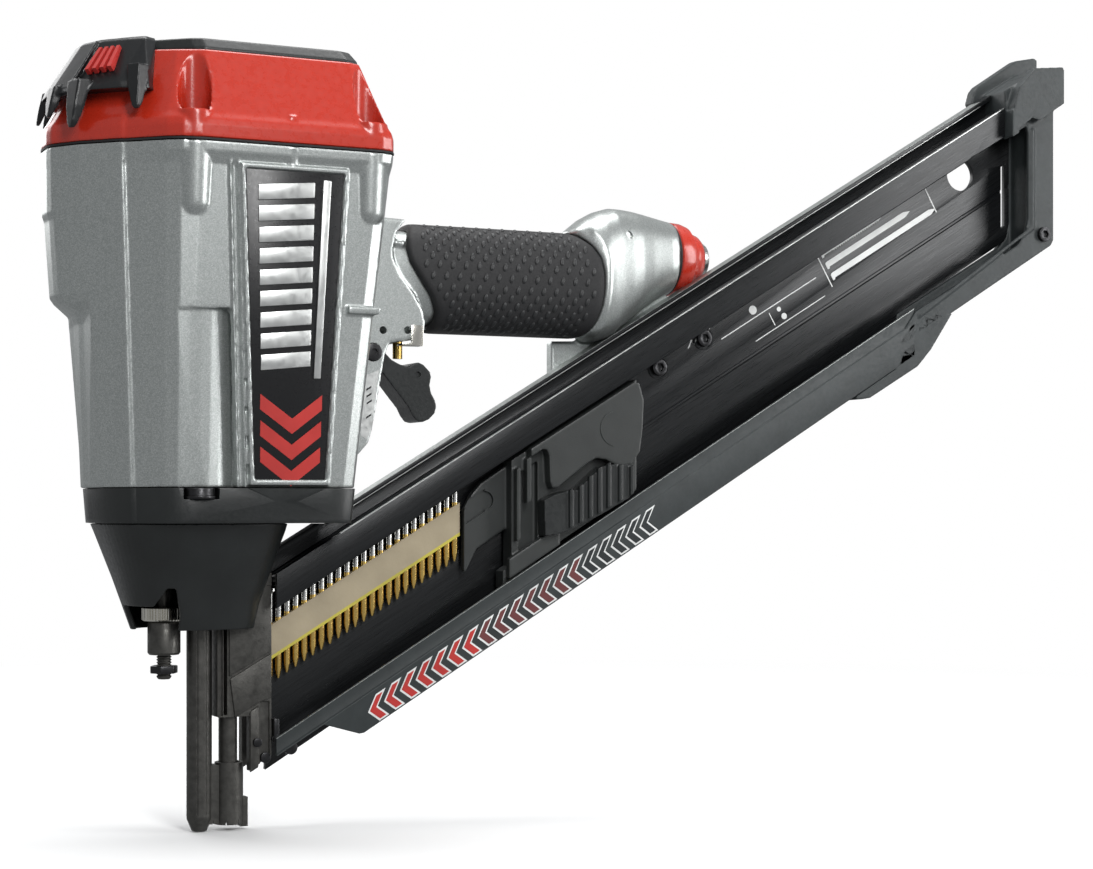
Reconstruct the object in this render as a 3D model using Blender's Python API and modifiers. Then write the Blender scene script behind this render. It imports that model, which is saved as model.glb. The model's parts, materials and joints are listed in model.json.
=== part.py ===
"""Clipped-head pneumatic framing nailer, as an assembly of separate solids.

The shapes are laid out in millimetres on the tool's datum: the drive axis is
X = Y = 0, +X runs back to the magazine's end, +Y is the tool's right side and
Z = 0 is the underside of the nose flange. The finished objects are in metres,
with the origin at the middle of the hand grip.
"""

import math

import bmesh
import bpy
from mathutils import Matrix, Vector

MM = 0.001
GRIP_CENTRE = Vector((138.0, 0.0, 120.5))
GAP = 0.3

# Head: the heights of the stack on the drive axis.
FLANGE_TOP = 16.0
HOUSING_TOP = 171.4
GASKET_TOP = 173.1
CAP_BAND_TOP = 184.0
CAP_TOP = 215.2
PLATE_TOP = 221.0
SIDE_AT_FLANGE = 50.0
SIDE_AT_CAP = 60.0
RESERVOIR_RADIUS = 42.0
WALL = 6.0
SCREW_SPOTS = [(-31.0, -51.0), (-31.0, 51.0), (52.0, -51.0), (52.0, 51.0)]
SCREW_SEAT = 179.5
BOSS_TOP = 186.0
BOLT_SPOTS = [(-27.0, -44.0), (-27.0, 44.0)]

# Drive train.
SLEEVE_INNER = 33.0
SLEEVE_OUTER = 36.0
PISTON_TOP = 162.0
PISTON_THICK = 12.0
BLADE_RADIUS = 3.2
BLADE_TIP = -38.0

# Nose and work contact.
COVER_BOTTOM = -50.0
GUIDE_RADIUS = 4.9
GUIDE_BORE = 3.6
GUIDE_TIP = -138.0
NOSE_REAR = 19.1
CONTACT_BAR_X = -14.5
CONTACT_TIP = -146.0
DEPTH_X = -31.5

# Magazine: a slanted rail. A height above the rail's datum line is "t".
MAG_ANGLE = math.radians(31.0)
MAG_FRONT = 19.5
MAG_REAR = 461.0
MAG_FAR = 7.5
MAG_WALL = 3.3
MAG_NEAR = -14.0
RAIL_TOP = -23.0
NEAR_RAIL_TOP = -32.0
NEAR_LIP = -45.0
LOWER_LIP = -98.0
LOWER_BOTTOM = -120.0
END_ARM_BOTTOM = -112.0
HOOK_X = 444.0
NAIL_COUNT = 26
NAIL_PITCH = 4.38
NAIL_RADIUS = 1.45
NAIL_FIRST = 7.0
NAIL_HEAD_T = -37.5
NAIL_LENGTH = 46.0

# Handle and trigger.
HANDLE_Z = 120.5
CORE_HALF = (16.5, 23.0)
GRIP_HALF = (20.5, 27.0)
INLET_CENTRE = (19.0, 139.5)
TRIGGER_PIVOT = (66.8, 82.3)
VALVE_X = 86.0

COLLECTION = "framing_nailer"


def clear_scene():
    for old in list(bpy.data.objects):
        bpy.data.objects.remove(old, do_unlink=True)


def make_collection(name):
    group = bpy.data.collections.new(name)
    bpy.context.scene.collection.children.link(group)
    return group


clear_scene()
PARTS = make_collection(COLLECTION)
CUTTERS = make_collection("cutters")


# Materials ---------------------------------------------------------------

def material(name, colour, roughness, metallic=0.0):
    mat = bpy.data.materials.new(name)
    mat.use_nodes = True
    shader = mat.node_tree.nodes["Principled BSDF"]
    shader.inputs["Base Color"].default_value = (*colour, 1.0)
    shader.inputs["Roughness"].default_value = roughness
    shader.inputs["Metallic"].default_value = metallic
    mat.diffuse_color = (*colour, 1.0)
    return mat


SILVER = material("silver_casting", (0.40, 0.43, 0.42), 0.38, 0.6)
RED = material("red_paint", (0.70, 0.05, 0.025), 0.25)
BLACK = material("black_plastic", (0.018, 0.021, 0.021), 0.45)
ANODISED = material("black_anodised", (0.012, 0.013, 0.014), 0.32, 0.4)
GREY_CASTING = material("grey_casting", (0.055, 0.062, 0.06), 0.55, 0.2)
STEEL = material("phosphated_steel", (0.085, 0.08, 0.072), 0.5, 0.7)
BRIGHT = material("bright_steel", (0.62, 0.62, 0.60), 0.25, 1.0)
BRASS = material("brass", (0.72, 0.55, 0.20), 0.3, 1.0)
RUBBER = material("black_rubber", (0.016, 0.016, 0.018), 0.75)
TAPE = material("paper_tape", (0.62, 0.53, 0.36), 0.8)


# Building blocks ---------------------------------------------------------

def place(name, mesh, finish, origin=(0, 0, 0), group=PARTS):
    """Add a mesh in datum millimetres as an object in metres, with its origin at a datum point."""
    mesh.transform(Matrix.Scale(MM, 4) @ Matrix.Translation(-Vector(origin)))
    obj = bpy.data.objects.new(name, mesh)
    obj.location = (Vector(origin) - GRIP_CENTRE) * MM
    mesh.materials.append(finish)
    mesh.shade_smooth()
    mesh.set_sharp_from_angle(angle=math.radians(35))
    group.objects.link(obj)
    return obj


def cutter(name, mesh, origin=(0, 0, 0)):
    obj = place(name, mesh, BLACK, origin, CUTTERS)
    obj.hide_render = True
    obj.display_type = "WIRE"
    return obj


def from_bmesh(bm):
    bmesh.ops.recalc_face_normals(bm, faces=bm.faces)
    mesh = bpy.data.meshes.new("shape")
    bm.to_mesh(mesh)
    bm.free()
    return mesh


def box(low, high):
    low, high = Vector(low), Vector(high)
    bm = bmesh.new()
    size = Matrix.Diagonal((*(high - low), 1.0))
    bmesh.ops.create_cube(bm, size=1.0, matrix=Matrix.Translation((low + high) / 2) @ size)
    return from_bmesh(bm)


def rod(start, end, radius, sides=24, end_radius=None):
    """A cylinder or cone between two datum points."""
    start, end = Vector(start), Vector(end)
    along = end - start
    turn = along.to_track_quat("Z", "Y").to_matrix().to_4x4()
    bm = bmesh.new()
    bmesh.ops.create_cone(
        bm,
        cap_ends=True,
        segments=sides,
        radius1=radius,
        radius2=radius if end_radius is None else end_radius,
        depth=along.length,
        matrix=Matrix.Translation((start + end) / 2) @ turn,
    )
    return from_bmesh(bm)


def plate(outline, near, far):
    """A flat XZ outline that fills the thickness from Y = near to Y = far."""
    curve = bpy.data.curves.new("outline", "CURVE")
    curve.dimensions = "2D"
    curve.fill_mode = "BOTH"
    curve.extrude = (far - near) / 2
    spline = curve.splines.new("POLY")
    spline.points.add(len(outline) - 1)
    for point, (x, z) in zip(spline.points, outline):
        point.co = (x, z, 0, 1)
    spline.use_cyclic_u = True
    flat = bpy.data.objects.new("outline", curve)
    CUTTERS.objects.link(flat)
    flat.matrix_world = Matrix.Translation((0, (near + far) / 2, 0)) @ Matrix.Rotation(math.pi / 2, 4, "X")
    bpy.context.view_layer.update()
    mesh = bpy.data.meshes.new_from_object(flat.evaluated_get(bpy.context.evaluated_depsgraph_get()))
    mesh.transform(flat.matrix_world)
    bpy.data.objects.remove(flat, do_unlink=True)
    bm = bmesh.new()
    bm.from_mesh(mesh)
    bmesh.ops.remove_doubles(bm, verts=bm.verts, dist=0.01)
    bpy.data.meshes.remove(mesh)
    return from_bmesh(bm)


def loft(rings, closed=False):
    """Skin a row of equal rings of points, with end caps unless the row closes on itself."""
    bm = bmesh.new()
    rows = [[bm.verts.new(point) for point in ring] for ring in rings]
    pairs = list(zip(rows, rows[1:]))
    if closed:
        pairs.append((rows[-1], rows[0]))
    else:
        bm.faces.new(rows[0])
        bm.faces.new(rows[-1])
    count = len(rows[0])
    for one, two in pairs:
        for i in range(count):
            j = (i + 1) % count
            bm.faces.new((one[i], one[j], two[j], two[i]))
    return from_bmesh(bm)


def turned(name, profile, finish, centre=(0, 0), sides=40):
    """Revolve a closed (radius, z) profile about a vertical axis with a Screw modifier."""
    top = max(z for _, z in profile)
    mesh = bpy.data.meshes.new("profile")
    points = [(radius, 0, z) for radius, z in profile]
    on_axis = profile[0][0] == 0 and profile[-1][0] == 0
    edges = [(i, i + 1) for i in range(len(points) - 1)]
    if not on_axis:
        edges.append((len(points) - 1, 0))
    mesh.from_pydata([(x, y, z - top) for x, y, z in points], edges, [])
    mesh.transform(Matrix.Scale(MM, 4))
    mesh.materials.append(finish)
    obj = bpy.data.objects.new(name, mesh)
    obj.location = (Vector((*centre, top)) - GRIP_CENTRE) * MM
    PARTS.objects.link(obj)
    screw = obj.modifiers.new("turn", "SCREW")
    screw.steps = sides
    screw.render_steps = sides
    screw.use_merge_vertices = True
    screw.merge_threshold = 0.00005
    screw.use_smooth_shade = True
    return obj


def boolean(obj, other, operation):
    step = obj.modifiers.new(operation.lower(), "BOOLEAN")
    step.operation = operation
    step.object = other
    step.solver = "EXACT"


def cut(obj, *meshes):
    for mesh in meshes:
        boolean(obj, cutter(f"{obj.name}_cut_{len(obj.modifiers)}", mesh), "DIFFERENCE")


def join(obj, *meshes):
    for mesh in meshes:
        boolean(obj, cutter(f"{obj.name}_add_{len(obj.modifiers)}", mesh), "UNION")


def bevel(obj, width, segments=1, angle=40):
    step = obj.modifiers.new("edges", "BEVEL")
    step.width = width * MM
    step.segments = segments
    step.limit_method = "ANGLE"
    step.angle_limit = math.radians(angle)


# Shapes that several parts share ----------------------------------------

def side_y(z):
    """Half width of the head's flat sides, which lean in towards the nose."""
    share = (z - FLANGE_TOP) / (GASKET_TOP - FLANGE_TOP)
    return SIDE_AT_FLANGE + share * (SIDE_AT_CAP - SIDE_AT_FLANGE)


def mirrored(half, z):
    """A plan ring from the half outline on the -Y side, front to rear."""
    near = [(x, -y, z) for x, y in half]
    far = [(x, y, z) for x, y in reversed(half)]
    return near + far


def head_ring(z, front, grow=0.0):
    """Plan of the head: narrow front, two facets, flat sides and a chamfered rear."""
    side = side_y(z)
    share = (z - FLANGE_TOP) / (GASKET_TOP - FLANGE_TOP)
    rear = 49.0 + 15.0 * share
    half = [
        (front - grow, 12.0),
        (front + 4.0 + 5.0 * share - grow, 15.0 + 9.0 * share + grow),
        (-54.0 - 3.0 * share - grow, 34.0 + 6.0 * share + grow),
        (-32.0 + 2.0 * share - grow, side + grow),
        (rear - 6.0 + grow, side + grow),
        (rear + grow, side - 6.0 - 2.0 * share),
    ]
    return mirrored(half, z)


def slant_z(x, t):
    """Height of the slanted magazine line t at the station x."""
    return x * math.tan(MAG_ANGLE) + t / math.cos(MAG_ANGLE)


def slab(x0, x1, t0, t1, near, far):
    """A magazine block with upright ends and slanted top and bottom."""
    outline = [(x0, slant_z(x0, t0)), (x1, slant_z(x1, t0)), (x1, slant_z(x1, t1)), (x0, slant_z(x0, t1))]
    return plate(outline, near, far)


def slanted(points):
    return [(x, slant_z(x, t)) for x, t in points]


def extrusion(section, x0, x1):
    """A (y, t) section drawn out along the magazine, with upright ends."""
    rings = [[(x, y, slant_z(x, t)) for y, t in section] for x in (x0, x1)]
    return loft(rings)


def oval(cy, cz, half_y, half_z, x_at, count=20, power=2.4):
    """An upright rounded ring about the handle, whose station may vary with height."""
    ring = []
    for i in range(count):
        angle = 2 * math.pi * i / count
        c, s = math.cos(angle), math.sin(angle)
        y = cy + half_y * math.copysign(abs(c) ** (2 / power), c)
        z = cz + half_z * math.copysign(abs(s) ** (2 / power), s)
        ring.append((x_at(z), y, z))
    return ring


def grip_front(z):
    return 86.0 + 0.28 * (147.5 - z)


def grip_rear(z):
    return 190.0 - 11.0 * ((z - 116.0) / 30.0) ** 2


# Head --------------------------------------------------------------------

def make_housing():
    rings = [
        head_ring(FLANGE_TOP + GAP, -67.0),
        head_ring(96.0, -71.5),
        head_ring(104.0, -80.5),
        head_ring(HOUSING_TOP, -88.0),
    ]
    body = place("housing", loft(rings), SILVER)
    cut(
        body,
        loft([
            head_ring(FLANGE_TOP + WALL, -67.0, -WALL),
            head_ring(96.0, -71.5, -WALL),
            head_ring(106.0, -80.5, -WALL),
            head_ring(HOUSING_TOP - 2.0 * WALL, -87.0, -WALL),
        ]),
    )
    join(body, *[rod((x, y, 138), (x, y, HOUSING_TOP), 9.0, 14) for x, y in SCREW_SPOTS])
    cut(
        body,
        rod((0, 0, 0), (0, 0, 200), RESERVOIR_RADIUS, 32),
        rod((30, 0, HANDLE_Z), (90, 0, HANDLE_Z), 11.0, 24),
        label_shape(-1, 1.0, 1.5),
        label_shape(1, 1.0, 1.5),
    )
    cut(body, *[rod((x, y, 145), (x, y, 200), 3.1, 8) for x, y in SCREW_SPOTS])
    cut(body, *[rod((x, y, 0), (x, y, FLANGE_TOP + 1.0), 8.4, 14) for x, y in BOLT_SPOTS])
    return body


def label_shape(side, grow, depth):
    """A tapered panel set into one side of the housing, down to a depth below its face."""
    outline = [
        (-9.4 - grow, 160.5 + grow),
        (37.7 + grow, 160.5 + grow),
        (31.3 + grow, 20 - grow),
        (-2.5 - grow, 20 - grow),
    ]
    outer = 3.0 if grow else 0.0
    mesh = plate(outline, -outer, depth)
    lean = Matrix.Identity(4)
    lean[1][2] = -(SIDE_AT_CAP - SIDE_AT_FLANGE) / (GASKET_TOP - FLANGE_TOP)
    mesh.transform(Matrix.Translation((0, -side_y(0), 0)) @ lean)
    if side > 0:
        mesh.transform(Matrix.Scale(-1, 4, (0, 1, 0)))
        mesh.flip_normals()
    return mesh


def make_labels():
    place("side_label_left", label_shape(-1, 0.0, 1.2), BLACK)
    place("side_label_right", label_shape(1, 0.0, 1.2), BLACK)


def make_cap():
    faces = [head_ring(z, -88.0, 0.4) for z in (HOUSING_TOP + GAP, GASKET_TOP)]
    gasket = place("cap_gasket", loft(faces), RUBBER)
    cut(gasket, rod((0, 0, 100), (0, 0, 250), RESERVOIR_RADIUS, 32))
    cut(gasket, *[rod((x, y, 145), (x, y, 200), 3.1, 8) for x, y in SCREW_SPOTS])
    crown = [(-68, 8), (-62, 20), (-50, 32), (-26, 45), (46, 45), (52, 38)]
    low = head_ring(GASKET_TOP, -88.0)
    band = [(x, y, CAP_BAND_TOP) for x, y, _ in low]
    shelf = [(x * 0.975, y * 0.975, CAP_BAND_TOP + 1.0) for x, y, _ in low]
    base = [(x, y, GASKET_TOP + GAP) for x, y, _ in low]
    cap = place("end_cap", loft([base, band, shelf, mirrored(crown, CAP_TOP)]), RED)
    chamber = [(-79, 8), (-75, 20), (-60, 32), (-44, 38), (44, 38), (52, 30)]
    cut(cap, loft([mirrored(chamber, z) for z in (GASKET_TOP - 2.0, BOSS_TOP + 3.0)]))
    join(cap, *[rod((x, y, GASKET_TOP + GAP), (x, y, BOSS_TOP), 9.0, 14) for x, y in SCREW_SPOTS])
    cut(cap, rod((0, 0, 150), (0, 0, 206), RESERVOIR_RADIUS, 32), deflector_body(0.4))
    cut(cap, *[rod((x, y, SCREW_SEAT), (x, y, 240), 8.0, 14) for x, y in SCREW_SPOTS])
    cut(cap, *[rod((x, y, 145), (x, y, 200), 3.1, 8) for x, y in SCREW_SPOTS])
    cut(cap, box((-75, -12, 192), (-20, 12, 203)))
    for i, (x, y) in enumerate(SCREW_SPOTS, 1):
        head = rod((x, y, SCREW_SEAT + GAP), (x, y, SCREW_SEAT + 5.2), 5.0, 12)
        screw = place(f"cap_screw_{i}", head, STEEL)
        join(screw, rod((x, y, 150), (x, y, SCREW_SEAT + 1), 2.7, 8))
        cut(screw, rod((x, y, SCREW_SEAT + 3), (x, y, SCREW_SEAT + 9), 2.6, 6))
    rim = [(-43.5, 12), (-43.5, 24), (-43.5, 36), (-26, 44), (45, 44), (51, 37)]
    crest = [(-43.5, 12), (-43.5, 24), (-43.5, 33), (-26, 40), (41, 40), (46.5, 34)]
    place("cap_top_plate", loft([mirrored(rim, CAP_TOP + GAP), mirrored(crest, PLATE_TOP)]), BLACK)


def deflector_body(grow):
    """The hood over the front of the cap, reaching back to the top plate."""
    base = [(-87, 10), (-80, 25), (-64, 42), (-52, 47), (-47, 44), (-46, 20)]
    crown = [(-71, 8), (-66, 20), (-55, 34), (-50, 38), (-45, 37), (-44, 15)]
    low = [(x - grow, y + grow) for x, y in base]
    high = [(x - grow, y + grow) for x, y in crown]
    low[-1], low[-2] = (-46 + grow, 20), (-47 + grow, 44 + grow)
    high[-1], high[-2] = (-44 + grow, 15), (-45 + grow, 37 + grow)
    return loft([mirrored(low, 196.0 - grow), mirrored(high, PLATE_TOP - 1.0 + 5.0 * grow)])


def make_deflector():
    hood = place("exhaust_deflector", deflector_body(0.0), BLACK)
    claws = [(-86.0, 9.0, 184.5), (-78.5, 27.0, 176.5), (-58.0, 44.0, 184.5)]
    for x, y, tip in claws:
        for side in (-1, 1):
            root = Vector((x * 0.985, side * y * 0.94, 200.0))
            end = Vector((x * 1.055, side * y * 1.055, tip))
            join(hood, rod(root, end, 4.5, 8, 1.6))
    cut(hood, box((-84, -14, 190), (-60, 14, 204)))


def make_flange():
    rings = [head_ring(0.0, -65.5, -0.5), head_ring(3.0, -66.0), head_ring(FLANGE_TOP, -67.0)]
    flange = place("nose_flange", loft(rings), BLACK)
    cut(flange, rod((0, 0, -10), (0, 0, 30), 6.5, 24))
    cut(flange, *[rod((x, y, 12), (x, y, 30), 8.4, 14) for x, y in BOLT_SPOTS])
    cut(flange, *[rod((x, y, 1), (x, y, 30), 3.4, 16) for x, y in BOLT_SPOTS])
    for i, (x, y) in enumerate(BOLT_SPOTS, 1):
        bolt = place(f"flange_bolt_{i}", rod((x, y, 12 + GAP), (x, y, 16.8), 7.2, 6), STEEL)
        join(bolt, rod((x, y, 1.5), (x, y, 13), 3.0, 16))


def cover_ring(z, front, rear, half):
    middle = (front + rear) / 2
    points = []
    for i in range(20):
        angle = 2 * math.pi * i / 20
        c, s = math.cos(angle), math.sin(angle)
        x = middle + (rear - front) / 2 * math.copysign(abs(c) ** 0.8, c)
        points.append((x, half * math.copysign(abs(s) ** 0.8, s), z))
    return points


def make_nose_cover():
    outer = [(-GAP, -63, 24, 43), (-14, -58.5, 18, 37), (-26, -54, 13.5, 30), (COVER_BOTTOM, -46, 5, 20)]
    inner = [(COVER_BOTTOM, -43, 2, 17), (-26, -51, 10.5, 27), (-14, -55.5, 15, 34), (-GAP, -60, 21, 40)]
    cover = place("nose_cover", loft([cover_ring(*row) for row in outer + inner], closed=True), BLACK)
    cut(cover, box((-60, -17, -60), (-30, 17, -34)))
    cut(cover, box((-5, -9.4, -60), (30, 9.4, -20)))


# Drive train -------------------------------------------------------------

def make_drive():
    inner, outer = SLEEVE_INNER, SLEEVE_OUTER
    profile = [(outer, 17), (inner, 17), (inner, 165), (41.5, 165), (41.5, 160), (outer, 158)]
    turned("cylinder_sleeve", profile, BRIGHT, sides=32)
    low = PISTON_TOP - PISTON_THICK
    groove = [(0, PISTON_TOP), (32.6, PISTON_TOP), (32.6, low + 8), (30.6, low + 8), (30.6, low + 4)]
    turned("piston", groove + [(32.6, low + 4), (32.6, low), (0, low)], BRIGHT, sides=32)
    ring = [(32.7, low + 7.6), (32.7, low + 4.4), (30.9, low + 4.4), (30.9, low + 7.6)]
    turned("piston_ring", ring, RUBBER, sides=32)
    blade = place("driver_blade", rod((0, 0, BLADE_TIP), (0, 0, low - GAP), BLADE_RADIUS, 16), BRIGHT)
    stop = [(31, 34), (31, 17), (7.5, 17), (7.5, 40), (26, 40)]
    turned("piston_bumper", stop, RUBBER, sides=32)
    valve = [(41.0, 178), (41.0, 165.6), (20.0, 165.6), (20.0, 171), (36, 174), (36, 178)]
    turned("head_valve", valve, BLACK, sides=32)
    spring_coil("head_valve_spring", (0, 0), 33.0, 178.6, 205.0, 2, 1.0)


def spring_coil(name, centre, radius, z0, z1, turns, wire, per_turn=14):
    """A compression spring: one open POLY curve, made solid."""
    curve = bpy.data.curves.new(name, "CURVE")
    curve.dimensions = "3D"
    curve.bevel_depth = wire * MM
    curve.bevel_resolution = 1
    curve.use_fill_caps = True
    steps = turns * per_turn
    spline = curve.splines.new("POLY")
    spline.points.add(steps)
    low, high = z0 + wire + GAP, z1 - wire - GAP
    for i in range(steps + 1):
        angle = 2 * math.pi * i / per_turn
        z = low + (high - low) * i / steps
        spot = (radius * math.cos(angle), radius * math.sin(angle), z - low)
        spline.points[i].co = (*[value * MM for value in spot], 1)
    curve.materials.append(BRIGHT)
    obj = bpy.data.objects.new(name, curve)
    obj.location = (Vector((*centre, low)) - GRIP_CENTRE) * MM
    PARTS.objects.link(obj)
    return obj


# Nose --------------------------------------------------------------------

def make_nose():
    column = [
        (-7.5, -92), (-7.5, -5), (10, -5), (10, -24), (NOSE_REAR, -24),
        (NOSE_REAR, slant_z(NOSE_REAR, -105)), (7.6, slant_z(7.6, -105)), (7.6, -92),
    ]
    nail_way = [(0, -25.5), (40, -25.5), (40, -131), (1, -131), (1, -90.5), (0, -90.5)]
    nose = place("nose_piece", plate(column, -9, 9), STEEL)
    join(
        nose,
        rod((-6, 0, -9), (-6, 0, -GAP - 0.3), 20.0, 32),
        box((-38, -7, -9), (-6, 7, -GAP - 0.3)),
        rod((0, 0, GUIDE_TIP), (0, 0, -60), GUIDE_RADIUS, 24),
    )
    cut(
        nose,
        rod((0, 0, -200), (0, 0, 50), GUIDE_BORE, 20),
        plate(nail_way, -3.9, 3.9),
        box((-5.0, -20, -91), (0.4, -2.0, -48)),
        rod((DEPTH_X, 0, -20), (DEPTH_X, 0, 20), 3.9, 20),
    )


def make_work_contact():
    bar = CONTACT_BAR_X
    foot = place("work_contact", rod((bar, 0, CONTACT_TIP), (bar, 0, -22), 6.0, 24), STEEL)
    join(
        foot,
        rod((0, 0, -143.5), (0, 0, -114), 6.9, 24),
        box((bar, -3.5, -143), (-4, 3.5, -115)),
        box((5.0, -2.6, -145), (8.6, 2.6, -131)),
    )
    cut(
        foot,
        rod((0, 0, -200), (0, 0, -100), GUIDE_RADIUS + 0.35, 24),
        rod((bar, 0, -40), (bar, 0, 10), 4.4, 20),
        *[box((-12, y - 0.9, -150), (12, y + 0.9, -142.2)) for y in (-3.6, 0.0, 3.6)],
    )
    spring_coil("contact_spring", (bar, 0), 2.9, -39.4, -9.6, 5, 0.6, 8)


def make_depth_adjuster():
    x = DEPTH_X
    place("depth_screw", rod((x, 0, -73.5), (x, 0, -3), 3.5, 16), STEEL)
    wheel = place("depth_wheel", rod((x, 0, -46), (x, 0, -39.5), 10.5, 36), BRIGHT, (x, 0, -42.7))
    cut(wheel, rod((x, 0, -60), (x, 0, -30), 3.9, 20))
    sleeve = place("depth_sleeve", rod((x, 0, -62), (x, 0, -46.5), 7.8, 24), STEEL, (x, 0, -54))
    cut(sleeve, rod((x, 0, -70), (x, 0, -40), 3.9, 20))
    nut = place("depth_lock_nut", rod((x, 0, -70.8), (x, 0, -67.2), 6.8, 6), STEEL)
    cut(nut, rod((x, 0, -80), (x, 0, -60), 3.8, 20))


# Magazine ----------------------------------------------------------------

def make_magazine():
    inner = MAG_FAR - MAG_WALL
    lip = MAG_NEAR + 2.5
    section = [
        (MAG_FAR, RAIL_TOP), (MAG_FAR, -112.4), (inner, -112.4), (inner, -34.4),
        (lip, -34.4), (lip, NEAR_LIP), (MAG_NEAR, NEAR_LIP), (MAG_NEAR, NEAR_RAIL_TOP),
        (inner, NEAR_RAIL_TOP), (inner, -25.0), (-1.5, -25.0), (-1.5, RAIL_TOP),
    ]
    body = place("magazine_body", extrusion(section, MAG_FRONT, MAG_REAR), ANODISED)
    cut(
        body,
        box((0, -60, -0.6), (50.5, 60, 60)),
        slab(HOOK_X, 500, 30, -47.0, -60, 60),
        slab(383.4, 500, -99.4, -160, -60, 60),
        slab(454.5, 457.5, -62.0, -92.0, -60, 60),
        rod((426.5, -50, slant_z(426.5, -53)), (426.5, 50, slant_z(426.5, -53)), 9.0, 32),
    )
    cut(body, *[rod((x, -20, z), (x, 40, z), 2.9, 16) for x, z in bolt_spots()])
    floor = [
        (MAG_NEAR, LOWER_LIP), (lip, LOWER_LIP), (lip, -112.8), (MAG_FAR, -112.8), (MAG_FAR, LOWER_BOTTOM),
        (4.5, LOWER_BOTTOM), (4.5, -116), (-11, -116), (-11, LOWER_BOTTOM), (MAG_NEAR, LOWER_BOTTOM),
    ]
    rail = place("magazine_lower_rail", extrusion(floor, MAG_FRONT, 383.2), GREY_CASTING)
    nose_relief = slanted([(0, -105.3), (43, -105.3), (60, -119.5), (60, -150), (0, -150)])
    cut(rail, plate(nose_relief, -60, 60))


def bolt_spots():
    return [(x, slant_z(x, -51.5)) for x in (234.0, 261.0)]


def make_magazine_end():
    outline = slanted([
        (HOOK_X + 0.4, -23.0), (HOOK_X + 0.4, -46.6), (MAG_REAR + 0.4, -46.6), (MAG_REAR + 0.4, -99.7),
        (383.7, -99.7), (383.7, END_ARM_BOTTOM), (477.4, END_ARM_BOTTOM), (477.4, -48.0), (480.0, -46.0),
        (480.0, -30.0), (466.0, -23.0),
    ])
    end = place("magazine_end", plate(outline, MAG_NEAR, 9.0), GREY_CASTING)
    near_prong = slanted([(445, -44), (448, -24), (460, -20), (480, -28), (480, -46), (463, -45.5)])
    far_prong = slanted([(437, -22.4), (439, -17), (468, -16), (483, -21), (483, -42), (445, -42)])
    join(end, plate(near_prong, -20.5, MAG_NEAR + 1), plate(far_prong, MAG_FAR + GAP, 15.0))
    cut(end, slab(430, 484, -10, -22.0, -11.0, 7.0))
    spot = (470.0, slant_z(470.0, -104.0))
    cut(end, rod((spot[0], -30, spot[1]), (spot[0], 30, spot[1]), 2.4, 16))
    head = rod((spot[0], -16.6, spot[1]), (spot[0], -14.3, spot[1]), 4.2, 16)
    screw = place("magazine_end_screw", head, STEEL)
    join(screw, rod((spot[0], -15, spot[1]), (spot[0], 4, spot[1]), 2.0, 12))
    pad = slanted([
        (344.7, -120.3), (383.6, -120.3), (384.2, -112.4), (408.0, -112.4),
        (394.0, -123.0), (384.5, -126.5), (354.0, -122.0), (345.0, -122.0),
    ])
    place("magazine_bumper", plate(pad, -14.0, 8.0), RUBBER)


def make_magazine_bolts():
    for i, (x, z) in enumerate(bolt_spots(), 1):
        bolt = place(f"magazine_bolt_{i}", rod((x, 1.6, z), (x, 3.9, z), 4.4, 20), STEEL)
        join(bolt, rod((x, 2.5, z), (x, 16, z), 2.5, 16))
        cut(bolt, rod((x, 0, z), (x, 2.6, z), 2.2, 6))


def nail_x(index):
    return NAIL_FIRST + index * NAIL_PITCH


def make_nails():
    last = nail_x(NAIL_COUNT - 1)
    first_z = slant_z(NAIL_FIRST, NAIL_HEAD_T)
    strip = place("nail_strip", slab(NAIL_FIRST - 2, last + 2, -52.5, -66.5, -1.0, 1.0), TAPE)
    for i in range(NAIL_COUNT):
        x = nail_x(i)
        top = first_z + i * NAIL_PITCH * math.tan(MAG_ANGLE)
        join(strip, nail(x, top))


def nail(x, top):
    """One nail: a clipped head, a shank and a point."""
    tip = top - NAIL_LENGTH
    head = [(3.1, top), (3.1, top - 1.3)]
    shank = [(NAIL_RADIUS, top - 2.2), (NAIL_RADIUS, tip + 4), (0.25, tip)]
    rings = []
    for radius, z in head + shank:
        ring = []
        for k in range(6):
            angle = math.pi / 6 + 2 * math.pi * k / 6
            reach = min(radius, 2.4) if math.cos(angle) > 0 else radius
            ring.append((x + reach * math.cos(angle), radius * math.sin(angle), z))
        rings.append(ring)
    return loft(rings)


def make_follower():
    block = place("follower", slab(143, 215, -47.0, -97.0, -9.6, 1.2), GREY_CASTING)
    cover = slanted([
        (151, -46.5), (212, -46.5), (215.5, -56), (214, -78), (203, -80.5),
        (186, -70), (166, -71), (162, -68), (162, -53), (151, -53),
    ])
    shoe = slanted([(119.8, -57.0), (146, -57.0), (146, -90.0), (119.8, -84.0)])
    join(block, plate(cover, -16.0, -9.0), plate(shoe, -3.4, 1.1))
    spot = (199.0, slant_z(199.0, -62.0))
    cut(block, rod((spot[0], -8.0, spot[1]), (spot[0], 10, spot[1]), 9.3, 32))
    cut(block, slab(146, 158, -60.0, -92.0, -30, -6.0))
    coil = rod((spot[0], -7.6, spot[1]), (spot[0], 0.8, spot[1]), 8.7, 28)
    roll = place("follower_spring_roll", coil, BRIGHT)
    cut(roll, rod((spot[0], -20, spot[1]), (spot[0], 20, spot[1]), 4.0, 20))


def make_latch():
    pad = slanted([
        (160, -82.5), (166, -76.5), (187, -76.0), (203, -87.0), (205, -88.0), (205, -96.5), (160, -96.5),
    ])
    latch = place("follower_latch", plate(pad, -19.5, -9.9), BLACK)
    ribs = [slab(169 + 5.2 * i, 171.2 + 5.2 * i, -70, -93.5, -30, -18.4) for i in range(5)]
    cut(latch, *ribs)


# Handle ------------------------------------------------------------------

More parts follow.
